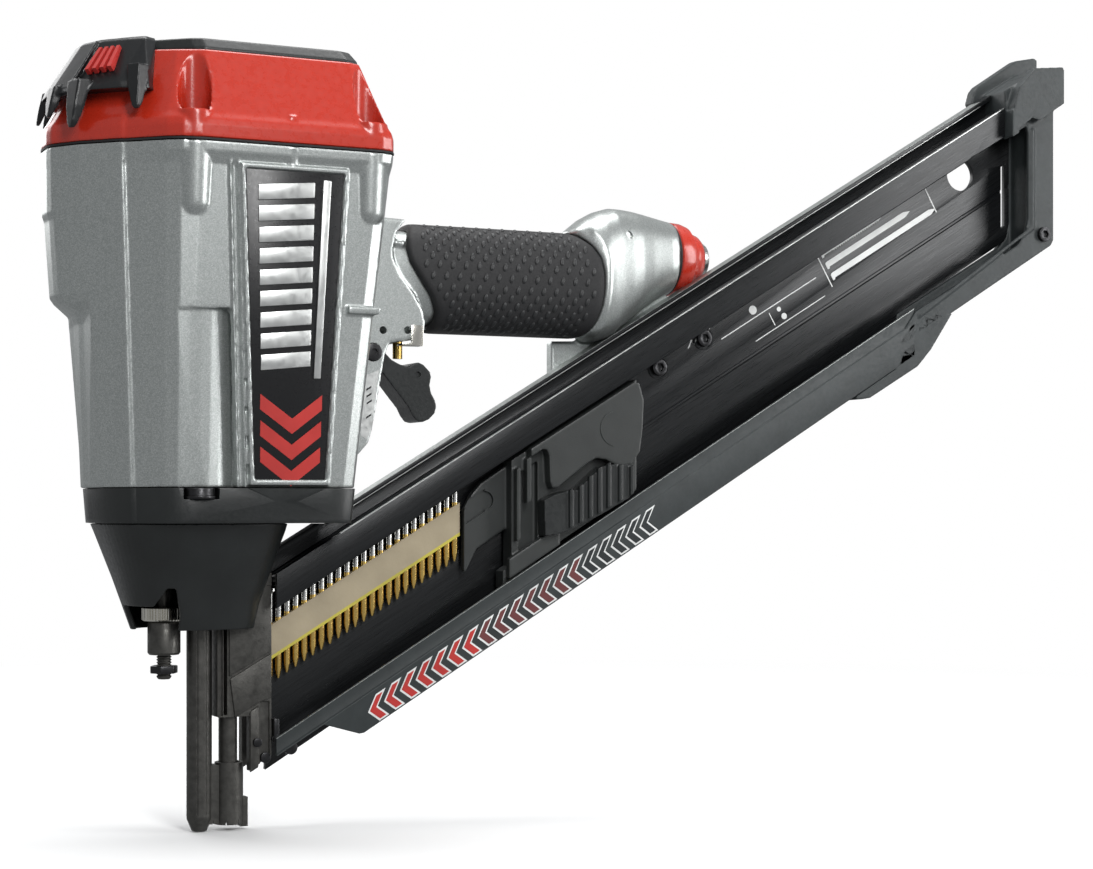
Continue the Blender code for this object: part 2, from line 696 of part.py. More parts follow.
def make_handle():
    def flat(x):
        return lambda z: x

    def step(offset):
        return lambda z: grip_rear(z) + offset

    core_y, core_z = CORE_HALF
    rings = [
        oval(0, HANDLE_Z, core_y, core_z, flat(64.5)),
        oval(0, HANDLE_Z, core_y, core_z, step(0.4)),
        oval(0, 121.0, 19.8, 26.8, step(0.5)),
        oval(1.5, 124.5, 21.5, 32.0, lambda z: 0.45 * grip_rear(z) + 0.55 * 197.0),
        oval(6.0, 128.0, 23.5, 33.5, flat(201)),
        oval(12.5, 134.0, 23.5, 28.5, flat(218)),
        oval(16.5, 137.5, 21.0, 23.0, flat(233)),
        oval(INLET_CENTRE[0], INLET_CENTRE[1], 17.5, 17.5, flat(245)),
    ]
    frame = place("handle_frame", loft(rings), SILVER)
    bracket = [
        (63.0, 148.5), (85.2, 147.0), (grip_front(94) - 0.5, 94.0), (94.0, 92.0),
        (75.0, 88.0), (71.0, 66.0), (65.0, 38.0), (58.0, 31.0), (51.2, 30.0),
    ]
    leg = [
        (174, 92.8), (191, 92.8), (194, 99), (236, 120), (244, 118),
        (276, 118), (276, 92), (238, 67), (174, 62),
    ]
    join(frame, plate(bracket, -17.5, 17.5), plate(leg, MAG_FAR + GAP + 0.2, 15.0))
    y, z = INLET_CENTRE
    pivot_x, pivot_z = TRIGGER_PIVOT
    cut(
        frame,
        rod((40, 0, HANDLE_Z), (204, 0, HANDLE_Z), 11.0, 24),
        rod((196, 5, 126), (260, y + 2, z + 2), 9.0, 24),
        box((40, -9.3, 20), (120, 9.3, 90.5)),
        rod((VALVE_X, 0, 80), (VALVE_X, 0, 120), 8.4, 24),
        rod((pivot_x, -40, pivot_z), (pivot_x, 40, pivot_z), 2.9, 16),
    )
    cut(frame, *[rod((x, 0, h), (x, 40, h), 2.9, 16) for x, h in bolt_spots()])


def make_grip():
    y, z = GRIP_HALF
    core_y, core_z = CORE_HALF
    rings = [
        oval(0, HANDLE_Z, y, z, grip_front, 24),
        oval(0, HANDLE_Z, y, z, grip_rear, 24),
        oval(0, HANDLE_Z, core_y + 0.5, core_z + 0.5, grip_rear, 24),
        oval(0, HANDLE_Z, core_y + 0.5, core_z + 0.5, grip_front, 24),
    ]
    place("grip_sleeve", loft(rings, closed=True), RUBBER)


def along_x(name, profile, finish, sides=24):
    """Rings of (x, radius) about the air inlet's axis, as a closed loop."""
    cy, cz = INLET_CENTRE
    rings = []
    for x, radius in profile:
        ring = []
        for i in range(sides):
            angle = 2 * math.pi * i / sides
            ring.append((x, cy + radius * math.cos(angle), cz + radius * math.sin(angle)))
        rings.append(ring)
    return place(name, loft(rings, closed=True), finish)


def make_inlet():
    along_x("handle_cap_seal", [(245.3, 16.8), (246.4, 16.8), (246.4, 11), (245.3, 11)], RUBBER)
    cap = [
        (246.7, 17.0), (255.5, 16.2), (256.5, 12.4), (263.0, 12.0),
        (264.5, 11.0), (264.5, 9.9), (246.7, 9.9),
    ]
    along_x("handle_rear_cap", cap, RED)
    along_x("air_inlet", [(247.0, 9.6), (268.0, 9.6), (268.0, 7.2), (247.0, 7.2)], BRIGHT, 24)


# Trigger -----------------------------------------------------------------

def make_trigger():
    x, z = TRIGGER_PIVOT
    turns = [math.radians(degrees) for degrees in range(75, 256, 30)]
    hub = [(x + 6.3 * math.cos(turn), z + 6.3 * math.sin(turn)) for turn in turns]
    blade = [
        (77.5, 70.0), (86.0, 59.5), (92.0, 50.5), (96.0, 49.0),
        (100.5, 51.0), (103.3, 56.5), (101.0, 63.5),
    ]
    top = [(101.0, 72.5), (94.5, 78.3), (87.6, 77.0), (80.0, 80.6), (72.5, 85.5)]
    trigger = place("trigger", plate(hub + blade + top, -8.6, 8.6), BLACK, (x, 0, z))
    cut(trigger, rod((x, -30, z), (x, 30, z), 2.9, 20))
    bevel(trigger, 1.2, 1, 50)
    pin = place("trigger_pin", rod((x, -19.0, z), (x, 19.0, z), 2.5, 20), STEEL)
    join(pin, rod((x, -19.6, z), (x, -17.9, z), 4.2, 20))
    body = place("trigger_valve_body", rod((VALVE_X, 0, 91), (VALVE_X, 0, 112), 7.9, 24), BRIGHT)
    cut(body, rod((VALVE_X, 0, 70), (VALVE_X, 0, 108), 5.2, 20))
    rise = rod((VALVE_X, 0, 80.6), (VALVE_X, 0, 101), 2.4, 16)
    stem = place("trigger_valve_stem", rise, BRASS, (VALVE_X, 0, 80.6))
    join(stem, rod((VALVE_X, 0, 96), (VALVE_X, 0, 99), 4.7, 20))
    spring_coil("trigger_valve_spring", (VALVE_X, 0), 3.7, 99.6, 107.8, 2, 0.5, 8)


make_housing()
make_labels()
make_cap()
make_deflector()
make_flange()
make_nose_cover()
make_drive()
make_nose()
make_work_contact()
make_depth_adjuster()
make_magazine()
make_magazine_end()
make_magazine_bolts()
make_nails()
make_follower()
make_latch()
make_handle()
make_grip()
make_inlet()
make_trigger()
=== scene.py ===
import json
import math

import bmesh
import bpy
from mathutils import Matrix, Vector


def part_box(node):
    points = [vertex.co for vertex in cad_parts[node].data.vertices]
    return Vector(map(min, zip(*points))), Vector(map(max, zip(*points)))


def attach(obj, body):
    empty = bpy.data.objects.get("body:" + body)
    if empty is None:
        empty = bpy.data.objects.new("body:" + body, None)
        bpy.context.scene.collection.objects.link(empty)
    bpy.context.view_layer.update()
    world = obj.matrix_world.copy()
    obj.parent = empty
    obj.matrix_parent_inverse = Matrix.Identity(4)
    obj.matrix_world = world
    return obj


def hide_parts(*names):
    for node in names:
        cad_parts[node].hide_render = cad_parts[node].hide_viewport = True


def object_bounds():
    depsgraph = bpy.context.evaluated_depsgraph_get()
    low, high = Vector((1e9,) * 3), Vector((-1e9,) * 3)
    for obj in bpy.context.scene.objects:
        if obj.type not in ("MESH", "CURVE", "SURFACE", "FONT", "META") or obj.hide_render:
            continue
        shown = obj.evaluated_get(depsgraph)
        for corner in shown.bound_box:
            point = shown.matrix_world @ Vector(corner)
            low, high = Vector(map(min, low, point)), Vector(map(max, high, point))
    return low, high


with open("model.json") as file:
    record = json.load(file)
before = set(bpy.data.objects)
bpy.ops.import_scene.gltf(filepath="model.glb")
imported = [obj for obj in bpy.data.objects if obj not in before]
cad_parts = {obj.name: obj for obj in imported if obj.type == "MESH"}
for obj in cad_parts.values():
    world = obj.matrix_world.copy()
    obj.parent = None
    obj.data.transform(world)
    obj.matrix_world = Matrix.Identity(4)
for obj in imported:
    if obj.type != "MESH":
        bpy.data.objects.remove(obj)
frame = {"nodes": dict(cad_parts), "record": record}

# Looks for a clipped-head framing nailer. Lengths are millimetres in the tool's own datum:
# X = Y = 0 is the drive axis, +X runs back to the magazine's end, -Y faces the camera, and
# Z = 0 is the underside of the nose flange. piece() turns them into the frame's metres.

CAD_BOX = [list(corner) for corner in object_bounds()]
MM = 0.001


def middle(node, axis):
    low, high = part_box(node)
    return (low[axis] + high[axis]) / 2


ORIGIN = Vector((middle("cylinder_sleeve", 0), middle("cylinder_sleeve", 1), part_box("nose_flange")[0][2]))


def low(node, axis):
    return (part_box(node)[0][axis] - ORIGIN[axis]) / MM


def high(node, axis):
    return (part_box(node)[1][axis] - ORIGIN[axis]) / MM


MAG_ANGLE = math.radians(31.0)


# Camera, light and floor ---------------------------------------------------

CAMERA_AT = (-293.4, -988.0, 8.4)
CAMERA_TURN = -25.0
CAMERA_LENS = 70.35
CAMERA_SHIFT = 0.0645
FLOOR_RADIUS = 3.0
FLOOR_FADE = (0.35, 1.1)


def make_camera():
    data = bpy.data.cameras.new("camera")
    data.lens = CAMERA_LENS
    data.sensor_width = 36.0
    data.shift_y = CAMERA_SHIFT
    data.clip_start = 0.05
    camera = bpy.data.objects.new("camera", data)
    camera.location = ORIGIN + Vector(CAMERA_AT) * MM
    camera.rotation_euler = (math.radians(90.0), 0.0, math.radians(CAMERA_TURN))
    bpy.context.scene.collection.objects.link(camera)
    bpy.context.scene.camera = camera


def area_light(name, at, aim, size, power, colour=(1, 1, 1)):
    data = bpy.data.lights.new(name, "AREA")
    data.shape = "RECTANGLE"
    data.size, data.size_y = size
    data.energy = power
    data.color = colour
    light = bpy.data.objects.new(name, data)
    light.location = at
    light.rotation_euler = (Vector(aim) - Vector(at)).to_track_quat("-Z", "Y").to_euler()
    bpy.context.scene.collection.objects.link(light)


def make_studio():
    """White all round for the camera, a dimmer even light for the tool, and four soft panels."""
    scene = bpy.context.scene
    scene.view_settings.view_transform = "Standard"
    world = bpy.data.worlds.new("studio")
    world.use_nodes = True
    tree = world.node_tree
    seen, cast_light = tree.nodes["Background"], tree.nodes.new("ShaderNodeBackground")
    seen.inputs["Color"].default_value = (1, 1, 1, 1)
    cast_light.inputs["Color"].default_value = (0.96, 0.98, 1.0, 1)
    cast_light.inputs["Strength"].default_value = 0.34
    mix, path = tree.nodes.new("ShaderNodeMixShader"), tree.nodes.new("ShaderNodeLightPath")
    tree.links.new(path.outputs["Is Camera Ray"], mix.inputs[0])
    tree.links.new(cast_light.outputs[0], mix.inputs[1])
    tree.links.new(seen.outputs[0], mix.inputs[2])
    tree.links.new(mix.outputs[0], tree.nodes["World Output"].inputs["Surface"])
    scene.world = world
    area_light("key", (-0.10, -1.45, 0.75), (-0.05, 0, 0), (0.35, 0.9), 15.0)
    area_light("side", (1.25, -0.85, 0.30), (0, 0, 0), (0.5, 1.1), 12.0)
    area_light("top", (0.1, 0.2, 1.5), (0, 0, 0), (1.6, 0.9), 24.0)
    area_light("back", (-0.5, 1.5, 0.6), (0, 0, 0), (1.2, 0.9), 10.0)
    spot = (0, 0, CAD_BOX[0][2] - 0.0005)
    bpy.ops.mesh.primitive_circle_add(vertices=96, radius=FLOOR_RADIUS, fill_type="NGON", location=spot)
    floor = bpy.context.object
    floor.name = "floor"
    floor.data.materials.append(make_floor_finish())
    floor.visible_diffuse = floor.visible_glossy = False


# Finishes --------------------------------------------------------------------

class Finish:
    """A small builder for one node material around a Principled shader."""

    def __init__(self, name, colour, roughness, metallic=0.0):
        self.material = bpy.data.materials.new(name)
        self.material.use_nodes = True
        self.tree = self.material.node_tree
        self.shader = self.tree.nodes["Principled BSDF"]
        self.shader.inputs["Base Color"].default_value = (*colour, 1)
        self.shader.inputs["Roughness"].default_value = roughness
        self.shader.inputs["Metallic"].default_value = metallic
        self.where = self.tree.nodes.new("ShaderNodeTexCoord").outputs["Object"]
        self.colour = colour
        self.height = None

    def node(self, kind, **values):
        node = self.tree.nodes.new(kind)
        for key, value in values.items():
            setattr(node, key, value)
        return node

    def link(self, a, b):
        self.tree.links.new(a, b)

    def stretched(self, scale, turn=0.0):
        mapping = self.node("ShaderNodeMapping")
        mapping.vector_type = "TEXTURE" if turn else "POINT"
        mapping.inputs["Scale"].default_value = tuple(1 / s for s in scale) if turn else scale
        mapping.inputs["Rotation"].default_value = (0, -turn, 0)
        self.link(self.where, mapping.inputs["Vector"])
        return mapping.outputs["Vector"]

    def noise(self, scale, detail=3.0, rough=0.55, where=None):
        noise = self.node("ShaderNodeTexNoise")
        noise.inputs["Scale"].default_value = scale
        noise.inputs["Detail"].default_value = detail
        noise.inputs["Roughness"].default_value = rough
        self.link(where or self.where, noise.inputs["Vector"])
        return noise.outputs["Fac"]

    def cells(self, scale, output="Color", where=None):
        cells = self.node("ShaderNodeTexVoronoi")
        cells.inputs["Scale"].default_value = scale
        self.link(where or self.where, cells.inputs["Vector"])
        return cells.outputs[output]

    def ramp(self, value, stops):
        ramp = self.node("ShaderNodeValToRGB")
        while len(ramp.color_ramp.elements) < len(stops):
            ramp.color_ramp.elements.new(0.5)
        for element, (at, colour) in zip(ramp.color_ramp.elements, stops):
            element.position = at
            element.color = (*colour, 1) if isinstance(colour, tuple) else (colour, colour, colour, 1)
        self.link(value, ramp.inputs["Fac"])
        return ramp.outputs["Color"]

    def tint(self, value, colours, socket="Base Color"):
        self.link(self.ramp(value, colours), self.shader.inputs[socket])

    def bump(self, value, strength, distance):
        bump = self.node("ShaderNodeBump")
        bump.inputs["Strength"].default_value = strength
        bump.inputs["Distance"].default_value = distance
        self.link(value, bump.inputs["Height"])
        if self.height is not None:
            self.link(self.height, bump.inputs["Normal"])
        self.height = bump.outputs["Normal"]
        self.link(self.height, self.shader.inputs["Normal"])

    def coat(self, weight, roughness):
        self.shader.inputs["Coat Weight"].default_value = weight
        self.shader.inputs["Coat Roughness"].default_value = roughness


def shades(colour, spread):
    """Two or three colours round one, darker to lighter."""
    return [tuple(min(1.0, c * k) for c in colour) for k in (1 - spread, 1.0, 1 + spread)]


def spread_tint(finish, value, colour, spread, stops=(0.3, 0.5, 0.7)):
    finish.tint(value, list(zip(stops, shades(colour, spread))))


def make_floor_finish():
    """A pale matt floor that glows up to pure white away from the tool, so no horizon shows."""
    finish = Finish("floor", (0.90, 0.90, 0.90), 0.9)
    spread_tint(finish, finish.noise(4.0), (0.90, 0.90, 0.90), 0.01)
    distance = finish.node("ShaderNodeVectorMath", operation="LENGTH")
    finish.link(finish.where, distance.inputs[0])
    reach = finish.node("ShaderNodeMapRange")
    reach.inputs["From Min"].default_value, reach.inputs["From Max"].default_value = FLOOR_FADE
    finish.link(distance.outputs["Value"], reach.inputs["Value"])
    glow, mix = finish.node("ShaderNodeEmission"), finish.node("ShaderNodeMixShader")
    glow.inputs["Color"].default_value = (1, 1, 1, 1)
    finish.link(reach.outputs["Result"], mix.inputs[0])
    finish.link(finish.shader.outputs[0], mix.inputs[1])
    finish.link(glow.outputs[0], mix.inputs[2])
    finish.link(mix.outputs[0], finish.tree.nodes["Material Output"].inputs["Surface"])
    return finish.material


def make_silver():
    """Metallic paint on a casting: fine bright flake over a soft orange peel."""
    finish = Finish("silver_casting", (0.44, 0.465, 0.455), 0.36, 0.85)
    flake = [(0.0, (0.34, 0.365, 0.355)), (0.5, (0.45, 0.475, 0.465)), (1.0, (0.60, 0.62, 0.61))]
    finish.tint(finish.cells(2600.0), flake)
    finish.tint(finish.noise(1500.0), [(0.3, 0.31), (0.7, 0.42)], "Roughness")
    finish.bump(finish.noise(2400.0, 2.0), 0.16, 0.0001)
    finish.bump(finish.noise(160.0, 2.0), 0.10, 0.0002)
    return finish.material


def make_red():
    finish = Finish("red_paint", (0.50, 0.026, 0.010), 0.30)
    spread_tint(finish, finish.noise(420.0), (0.50, 0.026, 0.010), 0.04)
    finish.tint(finish.noise(300.0), [(0.3, 0.24), (0.7, 0.34)], "Roughness")
    finish.bump(finish.noise(260.0, 2.0), 0.10, 0.0002)
    finish.coat(0.5, 0.10)
    return finish.material


def make_black():
    finish = Finish("black_plastic", (0.012, 0.014, 0.014), 0.38)
    spread_tint(finish, finish.noise(40.0), (0.012, 0.014, 0.014), 0.25)
    finish.tint(finish.noise(700.0), [(0.3, 0.30), (0.7, 0.46)], "Roughness")
    finish.bump(finish.noise(1200.0, 3.0), 0.25, 0.00012)
    return finish.material


def make_anodised():
    finish = Finish("black_anodised", (0.010, 0.011, 0.012), 0.30, 0.35)
    along = finish.stretched((3.0, 140.0, 140.0), MAG_ANGLE)
    spread_tint(finish, finish.noise(9.0, where=along), (0.010, 0.011, 0.012), 0.35)
    finish.tint(finish.noise(25.0, where=along), [(0.3, 0.24), (0.7, 0.38)], "Roughness")
    finish.bump(finish.noise(25.0, where=along), 0.06, 0.0001)
    return finish.material


def make_grey():
    finish = Finish("grey_casting", (0.030, 0.036, 0.037), 0.50)
    spread_tint(finish, finish.noise(90.0), (0.030, 0.036, 0.037), 0.16)
    finish.tint(finish.noise(500.0), [(0.3, 0.46), (0.7, 0.62)], "Roughness")
    finish.bump(finish.noise(1500.0, 3.0), 0.35, 0.00015)
    return finish.material


def make_phosphated():
    finish = Finish("phosphated_steel", (0.090, 0.088, 0.082), 0.42, 0.85)
    spread_tint(finish, finish.noise(260.0, 6.0), (0.090, 0.088, 0.082), 0.18, (0.35, 0.5, 0.68))
    finish.tint(finish.noise(500.0, 5.0), [(0.3, 0.34), (0.7, 0.58)], "Roughness")
    finish.bump(finish.noise(700.0, 5.0), 0.35, 0.0002)
    return finish.material


def make_metal(name, colour, roughness, grain=600.0):
    finish = Finish(name, colour, roughness, 1.0)
    spread_tint(finish, finish.noise(grain / 6.0), colour, 0.08)
    finish.tint(finish.noise(grain, 4.0), [(0.3, roughness * 0.75), (0.7, roughness * 1.3)], "Roughness")
    finish.bump(finish.noise(grain * 2.0), 0.12, 0.0001)
    return finish.material


def make_dull(name, colour, roughness, grain=900.0, depth=0.4):
    finish = Finish(name, colour, roughness)
    spread_tint(finish, finish.noise(grain / 12.0), colour, 0.12)
    finish.tint(finish.noise(grain), [(0.3, roughness * 0.88), (0.7, roughness * 1.1)], "Roughness")
    finish.bump(finish.noise(grain * 1.5, 3.0), depth, 0.00012)
    return finish.material


# Mesh building, in millimetres --------------------------------------------

def to_mesh(bm):
    bmesh.ops.recalc_face_normals(bm, faces=bm.faces)
    mesh = bpy.data.meshes.new("shape")
    bm.to_mesh(mesh)
    bm.free()
    return mesh


def box(low_corner, high_corner):
    bm = bmesh.new()
    bmesh.ops.create_cube(bm, size=1.0)
    for v in bm.verts:
        v.co = [b if c > 0 else a for a, b, c in zip(low_corner, high_corner, v.co)]
    return to_mesh(bm)


def rod(start, end, radius, sides=40, end_radius=None, rounds=0):
    """A round bar; rounds > 0 gives its far end a domed tip of that many rings."""
    start, end = Vector(start), Vector(end)
    axis = (end - start).normalized()
    turn = Vector((0, 0, 1)).rotation_difference(axis)
    length = (end - start).length
    tip = radius if end_radius is None else end_radius
    rings = [(0.0, radius), (length, tip)]
    for k in range(1, rounds + 1):
        a = math.pi / 2 * k / (rounds + 1)
        rings.append((length + tip * math.sin(a), tip * math.cos(a)))
    bm = bmesh.new()
    loops = []
    for along, r in rings:
        loops.append([bm.verts.new(start + turn @ Vector((r * math.cos(a), r * math.sin(a), along)))
            for a in [2 * math.pi * i / sides for i in range(sides)]])
    skin(bm, loops)
    return to_mesh(bm)


def skin(bm, loops, closed=False):
    """Faces between rings of equal count, with flat ends unless the rings close on each other."""
    count = len(loops[0])
    pairs = list(zip(loops, loops[1:])) + ([(loops[-1], loops[0])] if closed else [])
    for one, two in pairs:
        for i in range(count):
            j = (i + 1) % count
            bm.faces.new((one[i], one[j], two[j], two[i]))
    if not closed:
        bm.faces.new(loops[0])
        bm.faces.new(loops[-1])


def loft(rings, closed=False):
    bm = bmesh.new()
    skin(bm, [[bm.verts.new(p) for p in ring] for ring in rings], closed)
    return to_mesh(bm)


def plate(outline, near, far):
    """An (x, z) outline made solid between two values of Y."""
    return loft([[(x, near, z) for x, z in outline], [(x, far, z) for x, z in outline]])


def turned(profile, centre=(0, 0, 0), axis="Z", sides=64):
    """A (radius, height) profile revolved about an axis through centre, as a closed ring or a solid."""
    bm = bmesh.new()
    hollow = profile[0][0] > 0 and profile[-1][0] > 0 and profile[0] == profile[-1]
    points = profile[:-1] if hollow else profile
    loops = []
    for radius, height in points:
        loops.append([bm.verts.new((radius * math.cos(a), radius * math.sin(a), height))
            for a in [2 * math.pi * i / sides for i in range(sides)]])
    skin(bm, loops, hollow)
    bmesh.ops.remove_doubles(bm, verts=bm.verts, dist=1e-5)
    mesh = to_mesh(bm)
    turn = {"Z": Matrix(), "X": Matrix.Rotation(math.pi / 2, 4, "Y"),
        "Y": Matrix.Rotation(-math.pi / 2, 4, "X")}
    mesh.transform(Matrix.Translation(centre) @ turn[axis])
    return mesh


def slant_z(x, t):
    """Height of the line lying t above the magazine's reference line, at x."""
    return x * math.tan(MAG_ANGLE) + t / math.cos(MAG_ANGLE)


def slanted(points):
    return [(x, slant_z(x, t)) for x, t in points]


def slab(x0, x1, t0, t1, near, far):
    return plate(slanted([(x0, t0), (x1, t0), (x1, t1), (x0, t1)]), near, far)


def extrusion(section, x0, x1):
    return loft([[(x, y, slant_z(x, t)) for y, t in section] for x in (x0, x1)])


def merged(*meshes):
    bm = bmesh.new()
    for mesh in meshes:
        bm.from_mesh(mesh)
    mesh = bpy.data.meshes.new("merged")
    bm.to_mesh(mesh)
    bm.free()
    return mesh


def modified(mesh, *steps):
    """The mesh after a list of (modifier type, {settings}) steps."""
    obj = bpy.data.objects.new("work", mesh)
    bpy.context.scene.collection.objects.link(obj)
    helpers = []
    for kind, settings in steps:
        step = obj.modifiers.new(kind, kind)
        for key, value in settings.items():
            if key == "mesh":
                other = bpy.data.objects.new("cutter", value)
                bpy.context.scene.collection.objects.link(other)
                helpers.append(other)
                step.object = other
            else:
                setattr(step, key, value)
    graph = bpy.context.evaluated_depsgraph_get()
    result = bpy.data.meshes.new_from_object(obj.evaluated_get(graph))
    for old in [obj] + helpers:
        bpy.data.objects.remove(old)
    return result


def carve(mesh, add=(), cut=()):
    steps = [("BOOLEAN", {"mesh": m, "operation": "UNION", "solver": "EXACT"}) for m in add]
    steps += [("BOOLEAN", {"mesh": m, "operation": "DIFFERENCE", "solver": "EXACT"}) for m in cut]
    return modified(mesh, *steps)


def cast(mesh, voxel=0.9, rounds=4, keep=0.35):
    """Overlapping solids made one skin with rounded edges, the way a casting's are."""
    return modified(
        mesh,
        ("REMESH", {"mode": "VOXEL", "voxel_size": voxel, "adaptivity": 0.0}),
        ("SMOOTH", {"factor": 0.5, "iterations": rounds}),
        ("DECIMATE", {"ratio": keep}),
    )


def bevelled(mesh, width, segments=2, angle=30.0):
    return modified(
        mesh,
        ("BEVEL", {"width": width, "segments": segments, "limit_method": "ANGLE",
        "angle_limit": math.radians(angle), "use_clamp_overlap": True}),
    )


def piece(name, mesh, finish, body, replaces=(), crease=35.0, smooth=True):
    """Places a mesh in the frame as one shown piece."""
    mesh.transform(Matrix.Translation(ORIGIN) @ Matrix.Scale(MM, 4))
    mesh.materials.clear()
    mesh.materials.append(finish)
    mesh.polygons.foreach_set("use_smooth", [smooth] * len(mesh.polygons))
    mesh.polygons.foreach_set("material_index", [0] * len(mesh.polygons))
    if smooth and crease:
        mesh.set_sharp_from_angle(angle=math.radians(crease))
    obj = bpy.data.objects.new(name, mesh)
    bpy.context.scene.collection.objects.link(obj)
    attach(obj, body)
    if replaces:
        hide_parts(*replaces)
    return obj


make_camera()
SILVER = make_silver()
RED = make_red()
BLACK = make_black()
ANODISED = make_anodised()
GREY = make_grey()
PHOSPHATED = make_phosphated()
STEEL = make_metal("bright_steel", (0.62, 0.62, 0.60), 0.26)
NICKEL = make_metal("nickel", (0.70, 0.68, 0.62), 0.18)
BRASS = make_metal("brass", (0.78, 0.53, 0.16), 0.28)
BOLT = make_metal("bolt_black", (0.045, 0.045, 0.047), 0.36)
RUBBER = make_dull("rubber", (0.010, 0.010, 0.011), 0.66)
LABEL = make_dull("label_black", (0.006, 0.006, 0.007), 0.30, 700.0, 0.1)
PAPER = make_dull("paper_tape", (0.38, 0.32, 0.22), 0.80, 500.0, 0.5)

# Bare aluminium for the label relief, and also for thin strips on the magazine that are painted edge
# highlights.
BARE_AND_EDGE_HIGHLIGHT = make_metal("bare_aluminium_and_edge_highlight", (0.66, 0.67, 0.66), 0.38, 240.0)
GLOSS_BLACK = make_dull("gloss_black", (0.008, 0.009, 0.010), 0.34, 800.0, 0.15)
RED_PRINT = make_dull("red_print", (0.50, 0.035, 0.030), 0.38, 600.0, 0.1)
WHITE_PRINT = make_dull("white_print", (0.78, 0.79, 0.78), 0.45, 600.0, 0.1)
MAROON_PRINT = make_dull("maroon_print", (0.14, 0.035, 0.035), 0.42, 600.0, 0.1)
DARK_PRINT = make_dull("dark_print", (0.014, 0.018, 0.020), 0.42, 600.0, 0.1)
YELLOW = make_dull("tape_edge", (0.52, 0.45, 0.06), 0.55, 600.0, 0.2)
STICKER = make_metal("sticker_foil", (0.58, 0.59, 0.58), 0.42, 500.0)
# Duller bare metal for the rail's bare top face, and also for a painted highlight line on the lower rail.
DULL_BARE_AND_HIGHLIGHT = make_metal("bare_strip_and_highlight_line", (0.40, 0.42, 0.41), 0.42, 700.0)
GREY_SATIN = make_dull("grey_satin", (0.030, 0.033, 0.032), 0.42, 900.0, 0.3)
RUBBER_WORN = make_dull("rubber_raised", (0.015, 0.016, 0.017), 0.50, 900.0, 0.3)

FINISH = {
    "silver_casting": SILVER, "red_paint": RED, "black_plastic": BLACK, "black_anodised": ANODISED,
    "grey_casting": GREY, "phosphated_steel": PHOSPHATED, "bright_steel": STEEL, "nickel": NICKEL,
    "brass": BRASS, "rubber": RUBBER, "label_black": LABEL, "paper_tape": PAPER, "bolt_black": BOLT,
}

SLOTS = {part["node"]: part["material_slot"] for part in frame["record"]["subparts"]}


# Head: housing, cap, deflector, flange, cover ----------------------------------

HEAD_LOW = low("housing", 2)
HEAD_HIGH = high("housing", 2)
CAP_HIGH = high("end_cap", 2)
PLATE_HIGH = high("cap_top_plate", 2)
SIDE_LOW, SIDE_HIGH = 50.0, 60.0
SIDE_SUNK = 3.0
HEAD_FRONT = -88.0
BORE_RADIUS = 37.0
SCREWS = [(-31.0, -51.0), (-31.0, 51.0), (52.0, -51.0), (52.0, 51.0)]
BOLTS = [(-27.0, -44.0), (-27.0, 44.0)]


def share(z):
    return (z - HEAD_LOW) / (HEAD_HIGH - HEAD_LOW)


def side_y(z):
    return SIDE_LOW + share(z) * (SIDE_HIGH - SIDE_LOW)


def mirrored(half, z):
    """A closed ring from its -Y half, listed from the front to the rear."""
    near = [(x, -y, z) for x, y in half]
    far = [(x, y, z) for x, y in reversed(half)]
    return near + far


def lean(x_at_low, x_at_high, z):
    return x_at_low + share(z) * (x_at_high - x_at_low)


def head_plan(z, front, sunk=SIDE_SUNK, grow=0.0):
    """Plan of the head: a blunt prow, two facets with a raised ridge between them, a flat side."""
    s = share(z)
    side = side_y(z) - sunk + grow
    rear = 49.0 + 15.0 * s + grow
    reach = front - grow
    ridge_x, ridge_y = lean(-56.5, -62.2, z) - grow, lean(34.8, 39.6, z) + grow
    step = 1.1 * min(1.0, sunk / SIDE_SUNK)
    return mirrored([
        (reach, 3.0 + 3.0 * s),
        (reach + 1.2, 9.0 + 2.0 * s + grow),
        (lean(-65.5, -77.5, z) - grow, 20.5 + 4.0 * s + grow),
        (ridge_x - 0.4, ridge_y - 0.5),
        (ridge_x + 0.6, ridge_y + 0.4),
        (ridge_x + 2.6, ridge_y + 1.0 - step),
        (lean(-42.8, -44.6, z), side - lean(3.6, 5.4, z)),
        (lean(-37.6, -38.2, z), side - lean(0.9, 1.4, z)),
        (lean(-31.5, -30.0, z), side),
        (rear - 8.0, side),
        (rear - 2.5, side - 2.2),
        (rear, side - 7.5),
    ], z)


def rib(x_low, x_high, z_low, z_high, width, rise):
    """A raised vertical line on the near side, leaning with the side."""
    rings = []
    for x, z in ((x_low, z_low), (x_high, z_high)):
        y = side_y(z) - SIDE_SUNK
        rings.append([(x - width, -y + 2, z), (x - width * 0.35, -y - rise, z),
            (x + width * 0.35, -y - rise, z), (x + width, -y + 2, z)])
    return loft(rings)


def flipped(mesh):
    """The same shape on the far side."""
    other = mesh.copy()
    other.transform(Matrix.Scale(-1, 4, (0, 1, 0)))
    other.flip_normals()
    return other


def both(mesh):
    return [mesh, flipped(mesh)]


def side_plate(outline, depth_in, depth_out, z_ref=HEAD_LOW):
    """A flat (x, z) outline laid on the leaning near side, from depth_in under it to depth_out over it."""
    mesh = plate(outline, -depth_out, depth_in)
    lean_by = (side_y(HEAD_HIGH) - side_y(HEAD_LOW)) / (HEAD_HIGH - HEAD_LOW)
    shear = Matrix()
    shear[1][2] = -lean_by
    base = side_y(z_ref) - lean_by * z_ref
    mesh.transform(Matrix.Translation((0, -base, 0)) @ shear)
    return mesh


